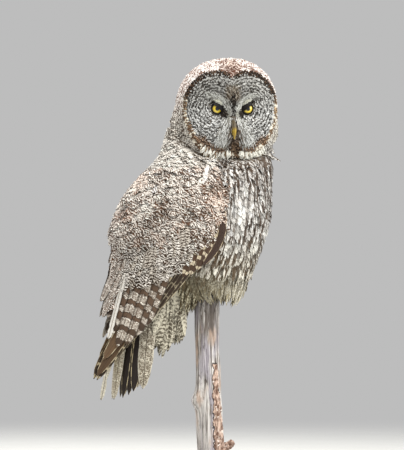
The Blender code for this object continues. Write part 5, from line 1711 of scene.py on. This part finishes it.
# The down round the vent, behind the stem
VENT_TUFTS = 90
for k in range(VENT_TUFTS):
    x = random.uniform(-0.056, -0.020)
    y = random.choice((-1, 1)) * random.uniform(0.004, 0.034)
    end_z = 0.292 + 0.9 * abs(x + 0.040) + 1.2 * max(0.0, abs(y) - 0.018) + 0.045 * random.random() ** 1.6
    root, up = nearest_skin([(x - 0.004, y * 1.3, 0.405)])
    path = (root[0] - up[0] * 0.001, (x, y * 1.15, (0.40 + end_z) / 2), (x - 0.003, y, end_z))
    line = curve_through(path, FRINGE_ROWS)
    lean = np.array((random.normal(0, 0.6), np.sign(y), 0.1))
    half = random.uniform(0.0026, 0.0044)
    vane = loose_vane(line, lean, half, 0.75, arch=0.25, narrow=0.4, rough=0.08)
    fringe.append(painted(vane, srgb(206, 198, 170), srgb(88, 74, 50), 0.4, 0.6, 0.0))
long_piece("belly_fringe", "breast_feather", breast_paint, fringe)

# Facial disc
# Fine stiff feathers that ring each eye and lie outwards, grey with dark flecks that line up in rings,
# inside a ruff that is nearly black above and brown and buff below.
EYE_OUT = 0.0295
EYE_UP = 0.0052
EYE_FORWARD = 0.0640
EYE_RADIUS = 0.0112
EYE_HALF_DEPTH = 0.0065
# How far the face's middle line leans to the bird's left below the eyes, for each metre down
CHIN_LEAN = 0.083
RING_SPACING = 0.0058


def from_middle(side, up):
    """Distance to the side of the face's middle line."""
    return side - CHIN_LEAN * np.maximum(0, -up)


def near_line(side, up, line):
    """How close points come to a line of (side, up, radius): 1 on it, 0 a radius away. Also the line's
    direction there."""
    best = np.full(len(side), 9.0)
    way = np.zeros((len(side), 2))
    for (s0, u0, r0), (s1, u1, r1) in zip(line, line[1:]):
        run = np.array((s1 - s0, u1 - u0))
        share = np.clip(((side - s0) * run[0] + (up - u0) * run[1]) / (run @ run), 0, 1)
        away = np.hypot(side - s0 - run[0] * share, up - u0 - run[1] * share) / (r0 + (r1 - r0) * share)
        closer = away < best
        best = np.where(closer, away, best)
        way[closer] = run / np.linalg.norm(run)
    return np.clip(1.5 - best, 0, 1), way


# Lines on the face: how far out, how far up, half width. The pale brow, from beside the bill up and out
BROW_LINE = (
    (0.0075, -0.0080, 0.0040), (0.0098, 0.0020, 0.0050), (0.0140, 0.0108, 0.0064),
    (0.0220, 0.0180, 0.0068), (0.0320, 0.0242, 0.0054), (0.0390, 0.0278, 0.0030),
)
# The pale bristles, from the same place down and out
LORE_LINE = (
    (0.0075, -0.0060, 0.0040), (0.0120, -0.0200, 0.0066), (0.0185, -0.0400, 0.0086),
    (0.0260, -0.0610, 0.0105),
)
# The dark line over the eye to its inner corner
LID_LINE = (
    (0.0430, 0.0220, 0.0020), (0.0340, 0.0150, 0.0028), (0.0240, 0.0085, 0.0036),
    (0.0180, 0.0010, 0.0046), (0.0155, -0.0080, 0.0046),
)
# Two creases over the streak, painted as dark lines of shade
CREASE_SHADE_LINE = (
    (0.0010, 0.0320, 0.0016), (0.0090, 0.0385, 0.0014), (0.0200, 0.0440, 0.0010),
)
# White crescent under the disc on each side of the chin
TIE_LINE = (
    (0.0125, -0.0700, 0.0050), (0.0210, -0.0745, 0.0074), (0.0340, -0.0745, 0.0074),
    (0.0460, -0.0685, 0.0060), (0.0550, -0.0620, 0.0040),
)


def face_paint(points):
    """Pale and dark colours and mark levels of the disc's feathers, by where they grow."""
    side, up, _ = in_head(points)
    off = np.abs(from_middle(side, up))
    count = len(points)
    brow, _ = near_line(off, up, BROW_LINE)
    lore, _ = near_line(off, up, LORE_LINE)
    lid, _ = near_line(off, up, LID_LINE)
    light = np.maximum(brow * 0.9, lore)
    upper = past(up, -0.01, 0.05)
    pale = shaded(count, srgb(222, 222, 219), 0.08, srgb(206, 205, 200), 0.08, upper)
    dark = tinted(srgb(50, 46, 40), count, 0.2)
    # Brown lines that run together between the brows, the dark streak there, and the dark round the bill
    between = (1 - past(off, 0.010, 0.006)) * past(up, 0.012, 0.012) * past(up, 0.052, -0.012)
    streak = (1 - past(off, 0.0031, 0.0016)) * past(up, 0.004, 0.004) * past(up, 0.031, -0.006)
    dashes = (1 - past(off, 0.0022, 0.0014)) * past(up, -0.019, 0.005) * past(up, 0.006, -0.004)
    streak = np.maximum(streak, dashes * eased(0.9 + 1.2 * patchy(points, 0.0030, 12.0)))
    beside_bill = (1 - past(off, 0.0085, 0.004)) * past(up, -0.018, -0.008) * past(up, -0.064, 0.01)
    chin = (1 - past(off, 0.0105, 0.006)) * past(up, -0.050, -0.009)
    # The dark foot of the disc over the white crescents, and the painted shade of two creases that run down
    # to the streak
    foot = past(disc_share(side, up), 0.76, 0.05) * past(up, -0.040, -0.012) * past(off, 0.014, 0.006)
    crease_shade = np.clip(near_line(off, up, CREASE_SHADE_LINE)[0] * 1.6 - 0.6, 0, 1)
    black = np.maximum(np.maximum(lid * 2.2, streak * 1.5), crease_shade * 0.8)
    for share, paler, pale_spread, darker, dark_spread in (
        (light, srgb(216, 217, 207), 0.05, srgb(140, 138, 126), 0.06),
        (between * (1 - brow), srgb(176, 168, 154), 0.2, srgb(92, 78, 62), 0.2),
        (beside_bill, srgb(140, 130, 120), 0.2, srgb(74, 64, 55), 0.2),
        (chin, srgb(126, 104, 82), 0.3, srgb(48, 35, 26), 0.2),
        (foot, srgb(168, 142, 120), 0.25, srgb(58, 42, 32), 0.2),
        (black, srgb(46, 39, 32), 0.2, srgb(22, 18, 14), 0.2),
    ):
        pale = toward(pale, paler, pale_spread, share)
        dark = toward(dark, darker, dark_spread, share)
    contrast = (0.95 - 0.7 * light) * np.clip(1.0 + 0.5 * patchy(points, 0.012, 16.0), 0.4, 1.0)
    lighter = -0.02 + 0.4 * patchy(points, 0.006, 14.0) - 0.25 * upper
    return pale, dark, marks_for(lighter, contrast, 0.0)


ring_group, given, results = paint_group(
    "disc_rings", {"Float": ("Lighter", "Seed")}, {"Float": ("Rings",)}
)
place = position(ring_group)
from_eyes = []
for flip in (-1, 1):
    eye = on_face(flip * EYE_OUT, EYE_UP, EYE_FORWARD)
    apart = added(ring_group, "VectorMath", place, eye, operation="DISTANCE")
    from_eyes.append(Wire(apart.outputs["Value"]))
ripple = mottle(place, 150.0, 2.0) - 0.5
phase = maths("MINIMUM", *from_eyes) / RING_SPACING + ripple * 2.2 + given["Seed"] * 0.22
specks = mottle(place, 260.0, 2.0, 0.6) - 0.5
wave = maths("SINE", phase * FULL_TURN) + specks * 6.8 + given["Lighter"]
feed(results["Rings"], step_between(wave, -0.45, 0.45))

disc_finish, tree, shader = new_material(
    "disc_feather", {"Roughness": 0.8, "Sheen Weight": 0.08, "Specular IOR Level": 0.2}
)
lighter, contrast, _, seed = feather_levels(tree)
rings = in_group(tree, ring_group, {"Lighter": lighter, "Seed": seed})["Rings"]
share = maths("MULTIPLY_ADD", rings - 0.5, contrast, 0.5, clamp=True)
feed(shader.inputs["Base Color"], mixed(share, attribute(tree, "dark"), attribute(tree, "pale")))

DISC = {"length": 0.0098, "half": 0.0010, "rise": 0.0030, "splay": 18}


def disc_way(points):
    """Outwards from the eye on each side, and up or down along the face's middle."""
    side, up, _ = in_head(points)
    across = from_middle(side, up)
    eye = np.where(across > 0, EYE_OUT, -EYE_OUT)
    climb = np.where(up > -0.012, 1.2, -1.2) * bell(across, 0.0, 0.012)
    return across_face(across - eye, up - EYE_UP) + climb[:, None] * UP


def on_disc(points):
    side, up, _ = in_head(points)
    from_eye = np.hypot(np.abs(side) - EYE_OUT, up - EYE_UP)
    on_bill = (np.abs(side) < 0.0034) & (up < -0.024) & (up > -0.050)
    rim = 0.92 - 0.03 * past(up, 0.020, 0.03)
    return (face_share(points) < rim) & (from_eye > 0.0098) & ~on_bill & ~in_notch(points)


roots, normals = scatter(0.0016, on_disc)
shown = roots + laid(disc_way(roots), normals) * 0.6 * DISC["length"]
looks = face_paint(shown)
small_feathers(
    "coat_disc", "face_feather", disc_finish, roots, normals, DISC, looks, way=disc_way, folded=True
)

# The ruff: short curved feathers that stand round the disc. Above they are nearly black, at the sides
# tan and brown, and low down reddish brown with white tips
RUFF = {"length": 0.0072, "half": 0.0021, "rise": 0.0048, "splay": 10}


def ruff_way(points):
    side, up, _ = in_head(points)
    return across_face(side, up + DISC_DROP) - 0.35 * FACE_FRONT


def on_ruff(points):
    _, up, _ = in_head(points)
    low = past(up, -0.010, -0.03)
    share = face_share(points)
    top = past(up, 0.020, 0.03)
    return (share > 0.912 - 0.030 * low - 0.04 * top) & (share < 0.972 - 0.025 * top) & ~in_notch(points)


roots, normals = scatter(0.0020, on_ruff)
count = len(roots)
_, up, _ = in_head(roots)
low = past(up, -0.010, -0.03)
above = past(up, 0.002, 0.03)
outer = past(face_share(roots), 0.945, 0.03)
white_tip = (random.random(count) < 0.50 * low * outer) | (random.random(count) < 0.26 * (1 - above))
pale = shaded(count, srgb(196, 168, 132), 0.2, srgb(84, 62, 42), 0.25, above)
pale = toward(pale, srgb(160, 130, 104), 0.25, low)
dark = shaded(count, srgb(92, 71, 52), 0.2, srgb(22, 15, 9), 0.25, above)
pale = toward(pale, srgb(240, 232, 214), 0.06, white_tip)
looks = (pale, dark, marks_for(-0.4 + 1.5 * white_tip, 0.9, 0.0))
small_feathers(
    "coat_ruff", "face_feather", crown_paint, roots, normals, RUFF, looks, way=ruff_way, folded=True
)

# The white crescents on each side of the chin, thick and soft
TIE = {"length": 0.0125, "half": 0.0020, "rise": 0.0076, "splay": 9}


def tie_way(points):
    side, up, _ = in_head(points)
    lean = np.clip(from_middle(side, up) / 0.05, -1, 1)[:, None]
    return 0.7 * lean * FACE_SIDE - UP


def on_tie(points):
    side, up, front = in_head(points)
    close, _ = near_line(np.abs(from_middle(side, up)), up + 0.004, TIE_LINE)
    off = np.abs(from_middle(side, up))
    return (close > 0.5) & (front > 0.02) & (off > 0.0095)


roots, normals = scatter(0.0023, on_tie)
count = len(roots)
side, up, _ = in_head(roots)
pale = tinted(srgb(251, 249, 238), count, 0.05)
dark = tinted(srgb(120, 98, 70), count, 0.2)
off = np.abs(from_middle(side, up))
gaps = patchy(np.stack((off, np.zeros(count), up * 0.25), 1), 0.0026, 22.0)
gaps = gaps - 0.55 * past(off, 0.045, 0.008)
looks = (pale, dark, marks_for(np.where(gaps < -0.68, -1.2, 1.4), 0.9, 0.0))
small_feathers(
    "coat_tie", "face_feather", crown_paint, roots, normals, TIE, looks, way=tie_way, folded=True
)

# Brow plumes and lore bristles: hair-thin pale feathers that sweep up over the eye and down past the
# bill, with a few dark ones close to the bill
PLUME = {"length": 0.0125, "half": 0.00075, "rise": 0.0042, "splay": 9}
LORE = {"length": 0.0200, "half": 0.00075, "rise": 0.0056, "splay": 8}


def plume_way(points):
    side, up, _ = in_head(points)
    across = from_middle(side, up)
    _, brow_run = near_line(np.abs(across), up, BROW_LINE)
    _, lore_run = near_line(np.abs(across), up, LORE_LINE)
    run = np.where((up > -0.007)[:, None], brow_run, lore_run)
    return np.sign(across)[:, None] * run[:, :1] * FACE_SIDE + run[:, 1:] * UP


def on_brow(points):
    side, up, front = in_head(points)
    off = np.abs(from_middle(side, up))
    clear = (off > 0.0066 + 0.0016 * (up < 0.006)) & (near_line(off, up - 0.001, LID_LINE)[0] < 0.2)
    return (near_line(off, up, BROW_LINE)[0] > 0.5) & clear & (front > 0.04) & (up > -0.007)


def on_lore(points):
    side, up, front = in_head(points)
    off = np.abs(from_middle(side, up))
    close = near_line(off, up, LORE_LINE)[0] > 0.5
    by_bill = (off > 0.0042) & (off < 0.010) & (up < -0.016) & (up > -0.056)
    return (close | by_bill) & (front > 0.04) & (up <= -0.007) & (up > -0.051)


for name, size, spacing, wanted, palest in (
    ("brow", PLUME, 0.0017, on_brow, srgb(224, 225, 219)),
    ("lore", LORE, 0.0016, on_lore, srgb(235, 236, 233)),
):
    roots, normals = scatter(spacing, wanted)
    count = len(roots)
    side, up, _ = in_head(roots)
    off = np.abs(from_middle(side, up))
    by_bill = (1 - past(off, 0.0070, 0.0035)) * past(up, -0.016, -0.006) * (random.random(count) < 0.85)
    pale = shaded(count, palest, 0.07, srgb(118, 106, 94), 0.2, by_bill)
    dark = shaded(count, srgb(120, 117, 110), 0.2, srgb(56, 47, 40), 0.2, by_bill)
    lighter = np.where(random.random(count) < 0.22, -1.2, 0.6)
    looks = (pale, dark, marks_for(lighter, 0.6, 0.0))
    plumes = f"{name}_plumes"
    small_feathers(plumes, "face_feather", crown_paint, roots, normals, size, looks, plume_way, folded=True)

# Eyes
# Glossy yellow eyeballs with round black pupils, under slanting upper lids. Each is set in a thin dark
# ring of bare skin.
PUPIL_RADIUS = 0.0039
# The iris looks down a little from the eyeball's middle
IRIS_DROP = 0.0009
EYE_BULGE = 0.0009
EYE_ROWS = 30
EYE_SIDES = 56


def on_eye(flip, side, up, front):
    """A point given from an eyeball's middle: to the head's left, up, and forward. flip is -1 for the
    right eye."""
    return on_face(flip * EYE_OUT + side, EYE_UP + up, EYE_FORWARD + front)


def eye_point(flip, lean, turn):
    """A point of the eyeball, at lean from straight ahead in the direction turn."""
    out = EYE_RADIUS * sin(lean)
    bulge = EYE_BULGE * max(0.0, 1 - (sin(lean) / 0.72) ** 2)
    return on_eye(flip, out * cos(turn), out * sin(turn), EYE_HALF_DEPTH * cos(lean) + bulge)


iris_finish, tree, shader = new_material(
    "iris", {"Roughness": 0.06, "Coat Weight": 1.0, "Coat Roughness": 0.02}
)
radial = attribute(tree, "radial", "Fac")
rays = mottle(stretched(position(tree), (900.0, 900.0, 900.0)))
yellow = mixed(rays, srgb(228, 188, 26), srgb(252, 230, 72))
yellow = mixed(step_between(radial, 0.0064, 0.0086) * 0.75, yellow, srgb(120, 84, 12))
lit = step_between(radial, PUPIL_RADIUS - 0.0002, PUPIL_RADIUS + 0.0003)
outside = step_between(radial, 0.0084, 0.0090)
feed(shader.inputs["Base Color"], mixed(outside, mixed(lit, srgb(10, 9, 8), yellow), srgb(24, 19, 15)))
bare_skin, tree, shader = new_material("lid_skin", {"Roughness": 0.55, "Specular IOR Level": 0.2})
wrinkles = mottle(position(tree), 1600.0)
feed(shader.inputs["Base Color"], mixed(wrinkles, srgb(6, 5, 4), srgb(22, 18, 15)))
bumped(shader, wrinkles, 0.0003, 0.6)
leans = np.linspace(0.02, pi - 0.02, EYE_ROWS)
around = np.arange(EYE_SIDES) * 2 * pi / EYE_SIDES
for flip, word in ((-1, "right"), (1, "left")):
    rings = [[eye_point(flip, lean, turn) for turn in around] for lean in leans]
    ends = [on_eye(flip, 0, 0, front) for front in (EYE_HALF_DEPTH + EYE_BULGE, -EYE_HALF_DEPTH)]
    points, triangles = ring_solid(rings, *ends)
    mesh = triangle_mesh(f"eyeball_{word}", points, triangles)
    side, up, front = in_head(points)
    away = np.hypot(side - flip * EYE_OUT, up - EYE_UP + IRIS_DROP)
    away[front < EYE_FORWARD] = EYE_RADIUS
    mesh.attributes.new("radial", "FLOAT", "POINT").data.foreach_set("value", away.astype(np.float32))
    fitted(mesh, iris_finish, "iris", f"eye_{word}")

# Lids: the ring of the lower lid, thicker inwards, and the upper lid as a fold that cuts across the eye
LID_FOLD = 0.0006
LID_TURN = radians(50)
LID_ROWS = 14
LID_REACH = EYE_RADIUS + 0.0033
LID_DEPTH = EYE_HALF_DEPTH + 0.0012
LID_RING_STEPS = 48
LID_PLUMES = 260


def lid_shell(flip):
    """The upper lid: the part of a shell round the eye that lies up and in from a slanting line."""
    points = []
    slant = np.array((-flip * cos(LID_TURN), sin(LID_TURN)))
    level = np.array((slant[1], -slant[0]))
    spans = np.linspace(-1, 1, 26)
    for grow in (0.0011, 0.0001):
        for row in range(LID_ROWS):
            rise = LID_FOLD + (EYE_RADIUS + 0.0030 - LID_FOLD) * row / (LID_ROWS - 1)
            for span in spans:
                lift = rise + 0.0014 * span**2 * (1 - row / (LID_ROWS - 1))
                width = sqrt(max(1e-8, (EYE_RADIUS + 0.0032) ** 2 - min(lift, EYE_RADIUS + 0.0031) ** 2))
                flat = slant * lift + level * width * span
                radius = min(0.999, np.linalg.norm(flat) / LID_REACH)
                front = LID_DEPTH * sqrt(1 - radius**2) + grow
                edge = 0.0006 * exp(-((row / 1.5) ** 2)) if grow > 0.0005 else 0.0
                points.append(on_eye(flip, flat[0], flat[1], front + edge))
    count = len(spans)
    shift = LID_ROWS * count
    grid = np.arange(shift).reshape(LID_ROWS, count)
    triangles = [grid_triangles(grid), grid_triangles(grid + shift)[:, ::-1]]
    loop = np.concatenate((grid[0], grid[1:, -1], grid[-1, -2::-1], grid[-2:0:-1, 0]))
    for a, b in zip(loop, np.roll(loop, -1)):
        triangles.append(np.array(((a, a + shift, b + shift), (a, b + shift, b))))
    return np.array(points), np.concatenate(triangles)


def lid_ring(flip):
    """The thin ring of bare skin that the eye sits in, thicker towards its inner corner."""
    path, radii = [], []
    for k in range(LID_RING_STEPS):
        turn = 2 * pi * k / LID_RING_STEPS
        inward = 0.5 - 0.5 * flip * cos(turn)
        major = EYE_RADIUS - 0.0012 + 0.0012 * inward
        path.append(on_eye(flip, major * cos(turn), major * sin(turn), 0.0036))
        radii.append(0.0013 + 0.0010 * inward**2)
    return path, radii


def ring_bar(path, radii, sides=10):
    """A closed ring of round section."""
    path = np.array(path)
    ahead = unit(np.roll(path, -1, 0) - np.roll(path, 1, 0))
    middle = path.mean(0)
    outward = laid(path - middle, ahead)
    other = np.cross(ahead, outward)
    points = []
    for k in range(len(path)):
        for s in range(sides):
            turn = 2 * pi * s / sides
            points.append(path[k] + radii[k] * (cos(turn) * outward[k] + sin(turn) * other[k]))
    # The last ring is joined to the first
    return np.array(points), tube_triangles(len(path) + 1, sides, False) % len(points)


lid_forms = []
for flip in (-1, 1):
    lid_forms += [ring_bar(*lid_ring(flip)), lid_shell(flip)]
# Pale plumes of the brow that grow over the upper lid
lid_roots, lid_normals = [], []
for flip in (-1, 1):
    slant = np.array((-flip * cos(LID_TURN), sin(LID_TURN)))
    level = np.array((slant[1], -slant[0]))
    middle = on_eye(flip, 0, 0, 0)
    for _ in range(LID_PLUMES):
        flat = slant * random.uniform(0.0098, 0.0130) + level * random.uniform(-0.0085, 0.0105) * -flip
        radius = np.linalg.norm(flat) / LID_REACH
        if radius < 0.97:
            front = LID_DEPTH * sqrt(1 - radius**2)
            root = on_eye(flip, flat[0], flat[1], front)
            lid_roots.append(root)
            lid_normals.append(unit(unit(root - middle) + 1.2 * FACE_FRONT))
count = len(lid_roots)
pale = tinted(srgb(222, 222, 208), count, 0.08)
dark = tinted(srgb(140, 138, 124), count, 0.15)
looks = (pale, dark, marks_for(np.full(count, 0.5), 0.6, 0.0))
size = {"length": 0.0085, "half": 0.0007, "rise": 0.0020, "splay": 10}
roots, normals = np.array(lid_roots), np.array(lid_normals)
small_feathers(
    "lid_plumes", "face_feather", crown_paint, roots, normals, size, looks, plume_way, folded=True
)
fitted(triangle_mesh("lids", *put_together(lid_forms)), bare_skin, "face_feather")

# Bill
# A short hooked bill of waxy yellow horn in two halves, dull at its base, where most of it is buried in
# the feathers of the face.
BILL_HALF_WIDTH = 0.0044
UPPER_BILL = (
    (-0.0220, 0.0730, 0.0085, 1.00), (-0.0270, 0.0825, 0.0082, 1.00),
    (-0.0335, 0.0885, 0.0070, 0.92), (-0.0405, 0.0905, 0.0052, 0.75),
    (-0.0470, 0.0895, 0.0034, 0.50), (-0.0520, 0.0875, 0.0016, 0.25),
)
LOWER_BILL = (
    (-0.0340, 0.0700, 0.0050, 0.85), (-0.0390, 0.0780, 0.0045, 0.80),
    (-0.0435, 0.0830, 0.0032, 0.60), (-0.0460, 0.0855, 0.0018, 0.35),
)
BILL_ROWS = 30
BILL_SIDES = 36


def bill_half(table, ridge):
    """Points and triangles of one half of the bill. ridge sharpens its back."""
    spine = curve_through(table, BILL_ROWS)
    run = np.gradient(spine[:, :2], axis=0)
    run /= np.linalg.norm(run, axis=1, keepdims=True)
    rings = []
    for k, (up, front, depth, width) in enumerate(spine):
        ring = []
        for s in range(BILL_SIDES):
            turn = 2 * pi * s / BILL_SIDES
            side = BILL_HALF_WIDTH * width * cos(turn) * (1 - ridge * max(0.0, sin(turn)) ** 2)
            lift = depth * sin(turn)
            ring.append(on_face(side, up + run[k, 1] * lift, front - run[k, 0] * lift))
        rings.append(ring)
    tip_up, tip_front = spine[-1, :2]
    start = on_face(0, spine[0, 0] + 0.001, spine[0, 1] - 0.002)
    return ring_solid(rings, start, on_face(0, tip_up - 0.0021, tip_front - 0.0008))


horn, tree, shader = new_material(
    "bill_horn", {"Roughness": 0.32, "Coat Weight": 0.3, "Coat Roughness": 0.2}
)
place = position(tree)
streaks = mottle(stretched(place, (500.0, 500.0, 120.0)))
horn_colour = mixed(streaks, srgb(150, 118, 24), srgb(204, 172, 52))
base_dark = step_between(parted(place)[2], HEAD_MIDDLE[2] - 0.038, HEAD_MIDDLE[2] - 0.029)
feed(shader.inputs["Base Color"], mixed(base_dark, horn_colour, srgb(96, 84, 62)))
bumped(shader, streaks, 0.0002, 0.4)
for name, table, ridge in (("bill_upper", UPPER_BILL, 0.45), ("bill_lower", LOWER_BILL, 0.1)):
    fitted(triangle_mesh(f"{name}_horn", *bill_half(table, ridge)), horn, "bill_horn", name)

# Claws
# Eight long curved claws of near-black horn that grip the rim of the stem. Each tapers to a point and
# bows out from its toe and down along the wood.
claw_horn, tree, shader = new_material("claw_horn", {"Roughness": 0.28})
streaks = mottle(stretched(position(tree), (700.0, 700.0, 150.0)))
feed(shader.inputs["Base Color"], mixed(streaks, srgb(22, 20, 19), srgb(66, 60, 55)))
bumped(shader, streaks, 0.0002, 0.4)
CLAW_RADIUS = 0.0027
CLAW_DROP = 0.0205
CLAW_ROWS = 22
for flip, word in ((1, "left"), (-1, "right")):
    for k, degrees in enumerate(TOE_TURNS):
        out = np.array((cos(radians(degrees)), flip * sin(radians(degrees)), 0))
        share = np.linspace(0, 1, CLAW_ROWS)[:, None]
        start = out * RIM_OUT + UP * (STEM_TOP - 0.0030)
        bow = 0.0034 * np.sin(pi * 0.85 * share) - 0.0010 * share
        path = start + out * bow - UP * CLAW_DROP * share
        claw = round_bar(path, CLAW_RADIUS * (1 - 0.88 * share[:, 0] ** 1.2) + 0.0001, 18)
        mesh = triangle_mesh(f"claw_horn_{word}_{k + 1}", *claw)
        fitted(mesh, claw_horn, "claw_horn", f"claw_{word}_{k + 1}")
